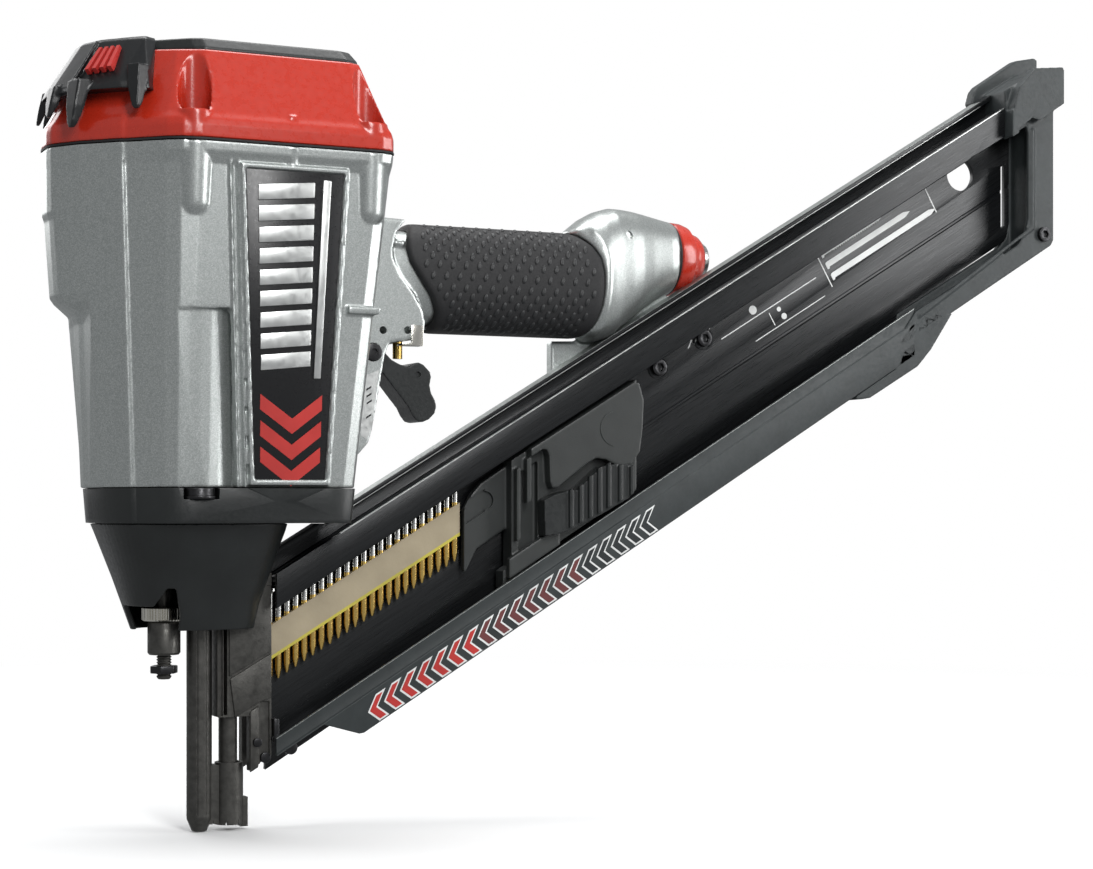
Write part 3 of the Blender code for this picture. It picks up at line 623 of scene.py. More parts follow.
def lower_panel():
    """The cylinder's bulge, showing in a sunk panel below the step."""
    cutter = plate([(-56.3, HEAD_LOW - 4), (-56.3, 92.5), (-52.5, 96.5), (-14.5, 97.5), (-11.5, 94.0),
        (-10.2, HEAD_LOW - 4)], -80, 0)
    bulge = loft([
        [(-33 + 46.5 * grow * math.sin(a), -1 - 46.5 * grow * math.cos(a), z)
        for a in [math.radians(d) for d in range(-90, 91, 6)]]
        for z, grow in ((HEAD_LOW - 6, 1.0), (98.0, 1.075))
    ])
    return cutter, bulge


def make_housing():
    rings = [head_plan(z, front) for z, front in (
        (HEAD_LOW, -70.0), (92.0, -73.0), (96.5, -74.5), (101.0, -82.0), (104.0, -84.2), (139.0, -86.6),
        (142.0, -87.6), (162.0, -87.8),
    )]
    rings += [head_plan(z, HEAD_FRONT, sunk) for z, sunk in ((165.5, 1.2), (167.0, 0.3), (HEAD_HIGH, 0.2))]
    body = loft(rings)
    bosses = []
    for x, y in SCREWS[::2]:
        bosses.append(rod((x, y - 0.4, HEAD_HIGH), (x, y + 0.9, 145.0), 8.7, 40, 7.6, 8))
    bosses.append(rod((13.2, -56.4, HEAD_HIGH), (13.2, -54.9, 161.5), 4.0, 24, 3.4, 3))
    ridges = [
        rib(-10.0, -16.4, HEAD_LOW, 166.0, 1.15, 1.5),
        rib(-6.4, -12.8, HEAD_LOW, 168.0, 1.15, 1.5),
        side_plate([(41.0, 97.0), (56.0, 97.0), (57.0, 100.2), (41.2, 100.2)], 6, -0.5),
    ]
    rim = side_plate([(-11.6, 162.6), (40.0, 162.6), (33.4, 17.4), (-4.6, 17.4)], 6, -0.2)
    rim_hole = side_plate([(-9.6, 160.6), (37.9, 160.6), (31.6, 19.8), (-2.7, 19.8)], 1.7, 6)
    cutter, bulge = lower_panel()
    panel = carve(body, add=[m for r in bosses + [rim] for m in both(r)])
    pocket = carve(cutter.copy(), cut=[bulge])
    panel = carve(panel, cut=both(pocket) + both(rim_hole) + [rod((0, 0, 0), (0, 0, 120), BORE_RADIUS, 48)])
    body = cast(merged(panel, *[m for r in ridges for m in both(r)]), 0.62, 2, 0.25)
    piece("housing_shell", body, SILVER, "frame", ["housing"])


def make_labels():
    field = [(-9.3, 160.2), (37.6, 160.2), (31.3, 20.1), (-2.4, 20.1)]
    for side, turn in (("left", lambda m: m), ("right", flipped)):
        plate_mesh = bevelled(side_plate(field, 3.0, -1.0), 0.3, 2)
        piece(f"side_label_{side}_field", turn(plate_mesh), LABEL, "frame",
            [f"side_label_{side}"])
        relief = []
        for k in range(9):
            z = 150.0 - 9.6 * k
            x0, x1 = lean(1.2, -4.2, z), lean(22.5, 23.5, z)
            relief.append(side_plate([(x0, z + 3.4), (x1, z + 5.8), (x1, z - 1.2), (x0, z - 3.6)], 1.2,
                -0.3))
        relief.append(side_plate([(27.5, 157.0), (31.3, 157.0), (28.0, 66.5), (24.6, 66.5)], 1.2, -0.3))
        piece(f"side_label_{side}_relief", turn(bevelled(merged(*relief), 0.35, 2)), BARE_AND_EDGE_HIGHLIGHT, "frame")
        stripes = []
        for z in (59.0, 47.0, 35.0):
            x0, x1, mid = lean(0.3, -3.0, z), lean(28.2, 31.0, z), 14.8
            stripes.append(side_plate([(x0, z), (mid, z - 11.0), (x1, z), (x1, z - 7.0), (mid, z - 18.0),
                (x0, z - 7.0)],
                1.2, -0.75))
        piece(f"side_label_{side}_chevrons", turn(merged(*stripes)), RED_PRINT, "frame")


def make_cap():
    base = head_plan(HEAD_HIGH, HEAD_FRONT, 0.0)
    low_ring = [(x, y, HEAD_HIGH + 1.2) for x, y, _ in base]
    band = [(x, y, 178.5) for x, y, _ in base]
    shoulder = [(x * 0.992, y * 0.985, 181.5) for x, y, _ in base]
    shelf = [(x * 0.968, y * 0.955, 184.6) for x, y, _ in base]
    crown = mirrored([(-69, 3), (-68, 9), (-61, 20), (-51.0, 31.0), (-50.0, 32.0), (-48.4, 33.0),
        (-36, 40.2),
        (-29, 43.5), (-24, 45.5), (44, 45.5), (50, 43), (52.5, 37)], CAP_HIGH)
    body = loft([low_ring, band, shoulder, shelf, crown])
    bosses = [rod((x, y, 173.6), (x, y, 185.8), 8.9, 48) for x, y in SCREWS]
    bosses += [rod((13.2, y, 173.6), (13.2, y, 185.5), 4.3, 24, 3.4) for y in (-54.6, 54.6)]
    body = carve(body, add=bosses)
    wells = [rod((x, y, 179.5), (x, y, 225), 7.7, 48, 6.6) for x, y in SCREWS]
    body = carve(body, cut=wells + [rod((0, 0, 160), (0, 0, 200), BORE_RADIUS, 48)])
    piece("end_cap_shell", cast(body, 0.75, 3, 0.4), RED, "frame", ["end_cap"])
    line = [head_plan(z, HEAD_FRONT, -0.2) for z in (HEAD_HIGH + 0.3, HEAD_HIGH + 1.2)]
    piece("cap_gasket_line", carve(loft(line), cut=[rod((0, 0, 150), (0, 0, 200), BORE_RADIUS, 48)]),
        RUBBER, "frame",
        ["cap_gasket"])
    for i, (x, y) in enumerate(SCREWS, 1):
        head = carve(rod((x, y, 179.7), (x, y, 184.6), 5.0, 32),
            cut=[rod((x, y, 181.5), (x, y, 190), 2.6, 6)])
        piece(f"cap_screw_{i}_head", bevelled(head, 0.4), BOLT, "frame", [f"cap_screw_{i}"])
    rim = mirrored([(-44, 3), (-44, 9), (-44, 20), (-44, 30), (-29, 42.5), (-24, 44.6), (44, 44.6),
        (50, 42), (52, 36)], 0)
    top = [[(x, y, CAP_HIGH - 0.5) for x, y, _ in rim],
        [(x * 0.995, y * 0.995, CAP_HIGH + 1.0) for x, y, _ in rim],
        [(x * 0.93 + (0 if x > 0 else -2.6), y * 0.925, PLATE_HIGH) for x, y, _ in rim]]
    piece("cap_top_lid", cast(loft(top), 0.7, 2, 0.4), BLACK, "frame", ["cap_top_plate"])


def hood_ring(points, z, grow=0.0):
    return mirrored([(x - grow, y + grow) for x, y in points], z)


def claw(root, tip, wide, deep):
    """A blunt wedge that hangs from the hood, tapering and rounding off at its tip."""
    root, tip = Vector(root), Vector(tip)
    across = Vector((root.y, -root.x, 0)).normalized()
    out = Vector((root.x, root.y, 0)).normalized()
    rings = []
    for share_down, size in ((0.0, 1.0), (0.55, 0.80), (0.90, 0.48), (1.0, 0.26)):
        middle_at = root.lerp(tip, share_down)
        w, d = across * wide * size, out * deep * size
        rings.append([middle_at - w - d, middle_at - w * 0.75 + d, middle_at + w * 0.75 + d,
            middle_at + w - d])
    return loft(rings)


def make_deflector():
    """A faceted hood: a front wedge, one badge panel each side, a steep rear facet and six claws."""
    foot = [(-88.0, 3), (-87.0, 10), (-80.5, 25.0), (-62.0, 42.5), (-50.5, 47.0), (-46, 40)]
    brow = [(-86.6, 3), (-85.6, 9.5), (-79.0, 23.5), (-62.4, 40.0), (-50.5, 45.6), (-46, 38)]
    crown = [(-73.4, 3), (-72.6, 9), (-67.6, 20), (-56.4, 32), (-50.0, 37.6), (-44.2, 34)]
    top = [(-71.6, 3), (-70.8, 8.4), (-66.2, 18.8), (-55.4, 30.6), (-49.6, 36.0), (-44.2, 32.5)]
    body = loft([hood_ring(foot, 195.0), hood_ring(brow, 198.6), hood_ring(crown, 219.2),
        hood_ring(top, 220.6)])
    body = carve(body, cut=[box((-85, -3, 180), (-50, 3, 196)), box((-80, -22, 180), (-50, 22, 195))])
    claws = []
    for side in (-1, 1):
        claws.append(claw((-84.2, side * 10.0, 199.0), (-88.2, side * 11.4, 184.6), 5.4, 2.4))
        claws.append(claw((-77.4, side * 25.6, 200.0), (-81.4, side * 28.4, 178.0), 6.4, 3.0))
        claws.append(claw((-55.0, side * 42.6, 206.0), (-56.6, side * 46.8, 185.4), 4.6, 3.4))
    arch = []
    for side in (-1, 1):
        arch.append(loft([[(-86.0, side * 9.5, z), (-79.0, side * 25.0, z), (-75.0, side * 22.0, z),
            (-82.0, side * 7.0, z)]
            for z in (194.0, 198.0)]))
    edge = []
    for side in (-1, 1):
        line = [Vector((-79.6, side * 25.0, 199.2)), Vector((-67.4, side * 20.6, 219.0))]
        out = Vector((-0.70, side * 0.55, 0.45)) * 0.5
        edge.append(rod(line[0] + out, line[1] + out, 0.9, 10))
    hood = cast(merged(body, *claws, *arch, *edge), 0.55, 2, 0.4)
    piece("exhaust_hood", hood, GLOSS_BLACK, "frame", ["exhaust_deflector"])
    bars = []
    for side in (-1, 1):
        low_edge = (Vector((-77.4, side * 27.0, 203.0)), Vector((-62.6, side * 40.2, 204.5)))
        high_edge = (Vector((-69.4, side * 22.9, 215.8)), Vector((-58.0, side * 33.8, 216.4)))
        out = (low_edge[1] - low_edge[0]).cross(high_edge[0] - low_edge[0]).normalized() * (-side)
        for k in range(4):
            start = 0.12 + 0.19 * k
            spots = [(start, 0.06), (start + 0.10, 0.06), (start + 0.16, 0.94), (start + 0.06, 0.94)]
            quad = [low_edge[0].lerp(low_edge[1], s).lerp(high_edge[0].lerp(high_edge[1], s), t) for s,
                t in spots]
            bars.append(loft([[p - out * 2.5 for p in quad], [p + out * 0.9 for p in quad]]))
    piece("exhaust_hood_stripes", merged(*bars), RED_PRINT, "frame")


def make_flange():
    z_low, z_high = low("nose_flange", 2), HEAD_LOW - 0.2
    rings = []
    for z, front in ((z_low, -66.5), (z_low + 1.8, -67.6), (z_high, -68.4)):
        rings.append([(x, y * 0.992, z) for x, y, _ in head_plan(z, front, 0.4, -0.2)])
    groove = plate([(-9.0, 17), (13.0, 7.4), (35.0, 17), (33.2, 17), (13.0, 8.2), (-7.2, 17)], -60, -48.6)
    body = carve(loft(rings), cut=[rod((x, y, 12), (x, y, 40), 8.2, 32) for x, y in BOLTS]
        + [box((x - 8.2, min(y, y * 1.4), 11.0), (x + 8.2, max(y, y * 1.4), 40)) for x, y in BOLTS]
        + [rod((0, 0, -10), (0, 0, 30), 33.0, 40)] + both(groove))
    body = bevelled(body, 0.5, 2)
    piece("nose_flange_ring", body, BLACK, "frame", ["nose_flange"])
    for i, (x, y) in enumerate(BOLTS, 1):
        head = carve(rod((x, y, 11.2), (x, y, 16.0), 7.3, 40),
            add=[rod((x, y, 11.1), (x, y, 12.6), 7.9, 40)],
            cut=[rod((x, y, 13), (x, y, 20), 3.6, 6)])
        piece(f"flange_bolt_{i}_head", bevelled(head, 0.5), BOLT, "frame",
            [f"flange_bolt_{i}"])


def cover_plan(z, front, rear, half, grow=0.0):
    middle, reach = (front + rear) / 2, (rear - front) / 2 + grow
    ring = []
    for i in range(64):
        a = 2 * math.pi * i / 64
        c, s = math.cos(a), math.sin(a)
        ring.append((middle + reach * math.copysign(abs(c) ** 0.75, c),
            (half + grow) * math.copysign(abs(s) ** 0.75, s), z))
    return ring


def make_cover():
    rows = [(-0.3, -64, 25, 43.5), (-4, -62.5, 24, 42), (-14, -58.8, 20.5, 37.5), (-26, -54.5, 17.0, 31),
        (-38, -50.5, 13.0, 25.5), (-50, -46.5, 11.0, 20)]
    outer = [cover_plan(*row) for row in rows]
    inner = [cover_plan(*row, -2.6) for row in reversed(rows)]
    cover = loft(outer + inner, closed=True)
    cover = carve(cover, cut=[
        plate([(-60, -60), (-60, -38.5), (-41.5, -38.5), (-37.0, -30.0), (-33.0, -30.0), (-29.5, -43.0),
        (-29.5, -60)], -60, 2),
        box((-2, -9.4, -60), (40, 9.4, -20)),
    ])
    piece("nose_cover_shell", cast(cover, 0.6, 2, 0.4), BLACK, "frame", ["nose_cover"])


# Magazine, its print, its end frame and the nails ---------------------------------

WALL_FACE = high("magazine_body", 1) - 3.3
NEAR_FACE = low("magazine_body", 1)
FAR_FACE = high("magazine_body", 1)
MAG_FRONT = low("magazine_body", 0)
MAG_REAR = high("magazine_body", 0)
RAIL_TOP, NEAR_TOP, LIP_END = -23.0, -32.0, -45.0
COS, SIN = math.cos(MAG_ANGLE), math.sin(MAG_ANGLE)


def along(s, t):
    """(x, z) of a point s along the magazine and t above its reference line."""
    return s * COS - t * SIN, s * SIN + t * COS


def along_plate(points, near, far):
    return plate([along(s, t) for s, t in points], near, far)


def stroke(s0, t0, s1, t1, width, face, rise=0.12):
    """A printed line on a wall that faces -Y."""
    dx, dy = s1 - s0, t1 - t0
    size = math.hypot(dx, dy)
    nx, ny = -dy / size * width / 2, dx / size * width / 2
    return along_plate([(s0 - nx, t0 - ny), (s1 - nx, t1 - ny), (s1 + nx, t1 + ny), (s0 + nx, t0 + ny)],
        face - rise, face + 0.3)


def bolt_spots():
    return [(middle_mm(f"magazine_bolt_{i}", 0), middle_mm(f"magazine_bolt_{i}", 2)) for i in (1, 2)]


def middle_mm(node, axis):
    return (low(node, axis) + high(node, axis)) / 2


def make_magazine():
    inner, lip = WALL_FACE, NEAR_FACE + 2.5
    section = [
        (FAR_FACE, RAIL_TOP), (FAR_FACE, -112.4), (inner, -112.4), (inner, -75.2), (inner + 0.6, -74.6),
        (inner + 0.6, -73.6), (inner, -73.0), (inner, -34.4), (lip, -34.4), (lip, LIP_END),
        (NEAR_FACE + 0.4, LIP_END),
        (NEAR_FACE, LIP_END + 0.5), (NEAR_FACE, NEAR_TOP + 1.2), (NEAR_FACE + 1.5, NEAR_TOP + 1.2),
        (NEAR_FACE + 1.9, NEAR_TOP), (-4.0, NEAR_TOP), (-3.6, NEAR_TOP + 0.7), (-2.6, NEAR_TOP + 0.7),
        (-2.2, NEAR_TOP),
        (inner, NEAR_TOP), (inner, -25.4), (-1.5, -25.4), (-1.5, RAIL_TOP),
    ]
    body = extrusion(section, MAG_FRONT, MAG_REAR)
    cuts = [
        box((0, -60, -0.6), (50.5, 60, 60)),
        slab(443.6, 500, 30, -47.0, -60, 60),
        slab(383.4, 500, -99.4, -160, -60, 60),
        slab(454.5, 457.5, -62.0, -92.0, -60, 60),
        rod((426.5, -50, slant_z(426.5, -53)), (426.5, 50, slant_z(426.5, -53)), 9.0, 48),
    ]
    body = carve(body, cut=cuts)
    piece("magazine_wall", bevelled(body, 0.35, 2, 25), ANODISED, "frame",
        ["magazine_body"])
    end = 436.0
    strips = [extrusion([(-1.35, RAIL_TOP - 0.3), (FAR_FACE - 0.1, RAIL_TOP - 0.3),
        (FAR_FACE - 0.1, RAIL_TOP + 0.12),
        (-1.35, RAIL_TOP + 0.12)], 52.0, end)]
    piece("magazine_top_bare", merged(*strips), DULL_BARE_AND_HIGHLIGHT, "frame")
    # Thin bright strips along the near lip and just under the far rail's inner top edge: painted edge
    # highlights.
    lines = [
        [(NEAR_FACE - 0.06, NEAR_TOP + 0.85), (NEAR_FACE + 0.25, NEAR_TOP + 0.85),
        (NEAR_FACE + 0.25, NEAR_TOP + 1.28),
        (NEAR_FACE - 0.06, NEAR_TOP + 1.28)],
        [(NEAR_FACE + 1.25, NEAR_TOP + 0.9), (NEAR_FACE + 1.62, NEAR_TOP + 0.9),
        (NEAR_FACE + 1.62, NEAR_TOP + 1.28),
        (NEAR_FACE + 1.25, NEAR_TOP + 1.28)],
    ]
    edges = [extrusion(line, 51.5, 443.0) for line in lines]
    edges.append(extrusion([(-1.56, RAIL_TOP - 2.3), (-1.3, RAIL_TOP - 2.3), (-1.3, RAIL_TOP - 2.0),
        (-1.56, RAIL_TOP - 2.0)],
        51.5, end))
    piece("magazine_edge_highlights", merged(*edges), BARE_AND_EDGE_HIGHLIGHT, "frame")
    for i, (x, z) in enumerate(bolt_spots(), 1):
        face = WALL_FACE
        head = carve(rod((x, face - 2.4, z), (x, face + 0.4, z), 4.3, 40),
            cut=[rod((x, face - 4, z), (x, face - 0.7, z), 2.3, 6)])
        piece(f"magazine_bolt_{i}_head", bevelled(head, 0.35), BOLT, "frame",
            [f"magazine_bolt_{i}"])
        ring = turned([(5.4, -0.5), (6.1, -0.5), (6.1, 0.3), (5.4, 0.3), (5.4, -0.5)], (x, face, z), "Y",
            48)
        piece(f"magazine_bolt_{i}_ring", ring, ANODISED, "frame")


def make_print():
    """Plain printed marks: a nail-length gauge and rules, with no lettering."""
    face = WALL_FACE
    marks = [stroke(358.6, -44.8, 358.6, -66.5, 0.7, face), stroke(440.4, -46.0, 440.4, -63.5, 0.7, face),
        stroke(283.0, -57.2, 352.0, -57.2, 0.55, face), stroke(301.0, -68.5, 352.0, -68.5, 0.45, face),
        stroke(316.0, -59.5, 316.0, -67.0, 0.5, face)]
    for t, s1 in ((-47.8, 409.0), (-54.6, 425.0), (-61.4, 441.0)):
        w = 1.55
        marks.append(along_plate([(361.0, t - w - 0.9), (362.3, t - w - 0.9), (362.9, t - w),
            (s1 - 4.5, t - w), (s1, t),
            (s1 - 4.5, t + w), (362.9, t + w), (361.6, t + w * 0.9), (361.0, t + w * 0.5)],
            face - 0.12, face + 0.3))
    for k in range(22):
        s = 370.0 + 1.6 * k
        marks.append(stroke(s, -45.9, s, -49.7, 0.7, face, 0.16))
    for s, t, r in ((322.5, -60.6, 1.3), (323.5, -65.4, 1.7), (308.0, -53.2, 2.4)):
        x, z = along(s, t)
        marks.append(rod((x, face - 0.12, z), (x, face + 0.3, z), r, 28))
    for k in range(4):
        marks.append(stroke(263.0 + 4.2 * k, -51.5, 268.0 + 4.2 * k, -48.0, 0.6, face))
    piece("magazine_gauge_print", merged(*marks), WHITE_PRINT, "frame", smooth=False)


def chevron(x, thick, top, foot):
    """A '<' with its tip at x, whose arms end on two lines along the magazine."""
    z = slant_z(x, CHEVRON_TIP)
    slope = math.tan(MAG_ANGLE)
    up = (slant_z(x, top) - z) / (CHEVRON_RISE - slope)
    down = (z - slant_z(x, foot)) / (CHEVRON_FALL + slope)
    edge = [(x + up, z + up * CHEVRON_RISE), (x, z), (x + down, z - down * CHEVRON_FALL)]
    return edge + [(px + thick, pz + thick * slope) for px, pz in reversed(edge)]


CHEVRON_TIP = -112.6
CHEVRON_RISE, CHEVRON_FALL = 2.2, 0.7
CHEVRON_COUNT, CHEVRON_FIRST, CHEVRON_PITCH = 19, 65.4, 8.22


def make_chevrons():
    face = low("magazine_lower_rail", 1)
    outline, fills = [], {"red": [], "maroon": [], "dark": []}
    for k in range(CHEVRON_COUNT):
        x = CHEVRON_FIRST + CHEVRON_PITCH * k
        outline.append(plate(chevron(x, 5.0, -107.2, -119.3), face - 0.10, face + 0.4))
        group = "red" if k < 7 else "maroon" if k < 14 else "dark"
        fills[group].append(plate(chevron(x + 0.95, 3.2, -108.0, -118.5), face - 0.20, face + 0.4))
    piece("rail_chevron_outlines", merged(*outline), WHITE_PRINT, "frame", smooth=False)
    for group, finish in (("red", RED_PRINT), ("maroon", MAROON_PRINT), ("dark", DARK_PRINT)):
        piece(f"rail_chevrons_{group}", merged(*fills[group]), finish, "frame",
            smooth=False)


def make_lower_rail():
    near, far = NEAR_FACE, FAR_FACE
    lip = near + 2.5
    section = [
        (near + 0.6, -98.0), (lip, -98.0), (lip, -112.8), (far, -112.8), (far, -120.0), (4.5, -120.0),
        (4.5, -116.0),
        (-11.0, -116.0), (-11.0, -120.0), (near, -120.0), (near, -104.8), (near + 0.9, -104.2),
        (near + 0.9, -99.2),
    ]
    rail = extrusion(section, MAG_FRONT, 383.2)
    relief = slanted([(0, -105.3), (43, -105.3), (61, -119.0), (66, -121), (60, -150), (0, -150)])
    rail = carve(rail, cut=[plate(relief, -60, 60)])
    piece("magazine_lower_rail_shell", bevelled(rail, 0.45, 2, 25), GREY, "frame",
        ["magazine_lower_rail"])
    # A thin bright strip on the lower rail's lip: a painted highlight line.
    edge = extrusion([(near + 0.55, -98.25), (lip - 0.2, -98.25), (lip - 0.2, -97.94),
        (near + 0.55, -97.94)], MAG_FRONT, 383.0)
    piece("magazine_lower_edge_highlight", edge, DULL_BARE_AND_HIGHLIGHT, "frame")


def make_magazine_end():
    near, far = NEAR_FACE, 9.0
    frame_ring = slanted([
        (444.0, -22.6), (444.0, -46.4), (458.6, -46.4), (459.6, -50.0), (459.6, -92.0), (457.6, -98.2),
        (452.5, -100.9),
        (383.7, -99.7), (383.7, -112.0), (475.6, -112.0), (477.4, -110.2), (477.4, -48.0), (480.0, -46.0),
        (480.0, -30.0),
        (466.0, -22.6),
    ])
    body = carve(plate(frame_ring, near, far), cut=[box((383, -11.5, -50), (461.0, 4.0, 400))])
    body = carve(body, add=[slab(444.0, 461.0, -23.0, -33.5, near, far)])
    near_prong = slanted([(445, -44.5), (445.6, -31), (449, -24), (460, -20), (479, -28), (480, -30),
        (480, -46), (463, -46.6),
        (458, -43)])
    far_prong = slanted([(437, -22.4), (439, -17.6), (442, -16.4), (468, -15.6), (481, -20), (483, -22),
        (483, -42), (445, -42)])
    parts = [body, plate(near_prong, -20.3, near + 1), plate(far_prong, far - 1.0, 14.8)]
    parts.append(slab(444.2, 449.0, -33.0, -46.0, -20.3, near + 1))
    parts.append(plate(slanted([(461.4, -50), (461.4, -98), (463.4, -98), (463.4, -50)]), near - 0.9,
        near + 1))
    parts.append(plate(slanted([(461.4, -96.2), (386, -101.6), (386, -103.4), (463.4, -98)]), near - 0.9,
        near + 1))
    shell = cast(merged(*parts), 0.65, 2, 0.3)
    shell = carve(shell, cut=[slab(448, 486, -10, -22.4, -11.0, 7.0)])
    piece("magazine_end_frame", shell, GREY, "frame", ["magazine_end"])
    x, z = middle_mm("magazine_end_screw", 0), middle_mm("magazine_end_screw", 2)
    head = carve(rod((x, near - 2.2, z), (x, near + 1.0, z), 4.1, 40),
        cut=[rod((x, near - 4, z), (x, near - 0.6, z), 2.1, 6)])
    piece("magazine_end_screw_head", bevelled(head, 0.35), BOLT, "frame",
        ["magazine_end_screw"])
    pad = slanted([(345.2, -120.4), (370.6, -120.2), (372.0, -116.0), (374.6, -112.6), (408.0, -112.4),
        (394.0, -122.6),
        (385.2, -126.2), (354.4, -125.6), (350, -124.0), (345.2, -121.8)])
    rest = slanted([(372.4, -107.6), (383.6, -99.9), (386.5, -99.9), (408.0, -112.4), (374.6, -112.6)])
    block = cast(merged(plate(pad, near, 8.0), plate(rest, near, near + 2.4)), 0.6, 3, 0.35)
    piece("magazine_bumper_block", block, GREY, "frame", ["magazine_bumper"])


def make_nails():
    """Bright clipped heads and shanks above the tape, brass-coloured shanks below it."""
    first, pitch, count = 7.0, 4.38, 26
    radius = 1.6
    top0 = slant_z(first, -37.5)
    upper, lower = [], []
    for i in range(count):
        x = first + i * pitch
        top = top0 + i * pitch * math.tan(MAG_ANGLE)
        ring = [(x + min(3.05 * math.cos(a), 2.1),
            3.05 * math.sin(a)) for a in [2 * math.pi * k / 20 for k in range(20)]]
        upper.append(loft([[(px, py, z) for px, py in ring] for z in (top - 1.3, top)]))
        upper.append(loft([[(x + r * math.cos(a), r * math.sin(a),
            z) for a in [2 * math.pi * k / 16 for k in range(16)]]
            for r, z in ((2.6, top - 1.3), (radius, top - 2.6), (radius, top - 16.5))]))
        lower.append(loft([[(x + r * math.cos(a), r * math.sin(a),
            z) for a in [2 * math.pi * k / 16 for k in range(16)]]
            for r, z in ((radius, top - 16.5), (radius, top - 41.6), (0.95, top - 44.8),
            (0.5, top - 46.0))]))
    piece("nail_heads", merged(*upper), STEEL, "frame", ["nail_strip"])
    piece("nail_shanks", merged(*lower), BRASS, "frame")
    last = first + (count - 1) * pitch
    for name, face in (("near", -1.62), ("far", 1.30)):
        tape = slab(first - 2.2, last + 2.2, -52.8, -66.3, face, face + 0.32)
        piece(f"nail_tape_{name}", tape, PAPER, "frame")
        edge = slab(first - 2.2, last + 2.2, -65.6, -67.0, face - 0.05, face + 0.37)
        piece(f"nail_tape_edge_{name}", edge, YELLOW, "frame")


def make_follower():
    near, back = -9.6, 1.2
    block = slab(143.5, 214.0, -47.5, -96.5, near, back)
    cover = slanted([
        (151.6, -46.8), (209.5, -46.9), (212.6, -48.6), (215.3, -57.5), (214.6, -70), (213.0, -79.0),
        (208.0, -82.0),
        (201.5, -80.0), (193.5, -72.6), (188.0, -69.2), (183.0, -68.9), (175, -69.6), (166.5, -70.9),
        (163.4, -69.6),
        (162.1, -66.4), (161.5, -54.5), (160.3, -51.6), (158.2, -50.2), (151.6, -50.2),
    ])
    shoe = slanted([(120.3, -57.2), (124.5, -52.4), (129.5, -50.2), (147.0, -49.6), (149.0, -76.5),
        (127.0, -77.2),
        (121.5, -83.6), (120.2, -83.4)])
    parts = [block, plate(cover, -15.8, near + 1), plate(shoe, -3.4, back)]
    parts += [slab(144.6, 146.8, -52, -83, -13.6, near + 1),
        slab(150.2, 152.8, -50.5, -69.5, -13.6, near + 1)]
    parts += [slab(141.0, 169.0, -88.6, -97.0, -12.8, near + 1),
        slab(139.5, 158.0, -93.0, -100.5, -8.0, back)]
    shell = carve(parts[0], cut=[slab(147.2, 157.8, -55.0, -92.0, -30, -6.6)])
    shell = cast(merged(shell, *parts[1:]), 0.5, 2, 0.35)
    x, z = 199.0, slant_z(199.0, -62.0)
    ring = turned([(8.1, -0.3), (8.9, -0.3), (8.9, 0.9), (8.1, 0.9), (8.1, -0.3)], (x, -15.8, z), "Y", 64)
    gate = slab(197.5, 209, -52.0, -72.5, -20, -10)
    arc = carve(ring, cut=[gate])
    finger = carve(rod((131.5, -6.0, slant_z(131.5, -58.5)), (131.5, -2.0, slant_z(131.5, -58.5)), 4.7, 32),
        add=[slab(121, 131.5, -53.6, -63.4, -6.0, -2.0)])
    shell = carve(shell, cut=[rod((x, -8.0, z), (x, 10, z), 9.3, 40), finger])
    piece("follower_shell", shell, GREY_SATIN, "follower", ["follower"])
    piece("follower_arc", arc, GREY_SATIN, "follower")


def make_latch():
    pad = slanted([(157.6, -71.9), (163.0, -72.4), (170.5, -74.6), (176.0, -76.9), (184.7, -74.9),
        (190.0, -74.0),
        (198.0, -76.8), (206.5, -81.4), (208.4, -84.0), (208.0, -94.0), (205.5, -95.6), (188.6, -94.6),
        (172.0, -92.2), (165.0, -90.4), (158.2, -87.6)])
    body = plate(pad, -18.0, -10.0)
    ribs = []
    for x, top, end in ((171.2, -74.6, -91.0), (176.6, -75.6, -91.6), (182.0, -74.2, -92.4),
            (187.2, -73.4, -93.0),
            (192.4, -74.2, -93.4), (199.0, -78.2, -94.0), (205.6, -82.0, -94.6)):
        ribs.append(slab(x, x + 2.0, top, end, -19.4, -17.0))
    shell = cast(merged(body, *ribs), 0.45, 2, 0.4)
    piece("follower_latch_pad", shell, BLACK, "follower_latch", ["follower_latch"])


# Handle, grip, inlet and trigger -----------------------------------------------------

HANDLE_Z = 120.5


def grip_front(z):
    """The S-shaped front edge of the grip."""
    points = [(93.5, 99.9), (100.0, 100.6), (103.0, 100.2), (110.2, 97.0), (119.8, 90.5), (127.0, 86.0),
        (133.0, 84.6),
        (138.0, 85.6), (143.0, 88.0), (148.5, 89.0)]
    return between(points, z)


def grip_rear(z):
    points = [(91.0, 180.5), (94.2, 184.6), (101.0, 188.2), (108.8, 190.2), (118.0, 191.2), (126.0, 191.2),
        (133.5, 190.0),
        (140.0, 186.4), (145.0, 181.0), (148.2, 175.0)]
    return between(points, z)


def between(points, at):
    """Piecewise-linear value at a coordinate, held level past the ends."""
    if at <= points[0][0]:
        return points[0][1]
    for (a, va), (b, vb) in zip(points, points[1:]):
        if at <= b:
            return va + (vb - va) * (at - a) / (b - a)
    return points[-1][1]


def oval(cy, cz, half_y, half_z, x_at, count=72, power=2.4):
    ring = []
    for i in range(count):
        a = 2 * math.pi * i / count
        c, s = math.cos(a), math.sin(a)
        y = cy + half_y * math.copysign(abs(c) ** (2 / power), c)
        z = cz + half_z * math.copysign(abs(s) ** (2 / power), s)
        ring.append((x_at(z), y, z))
    return ring


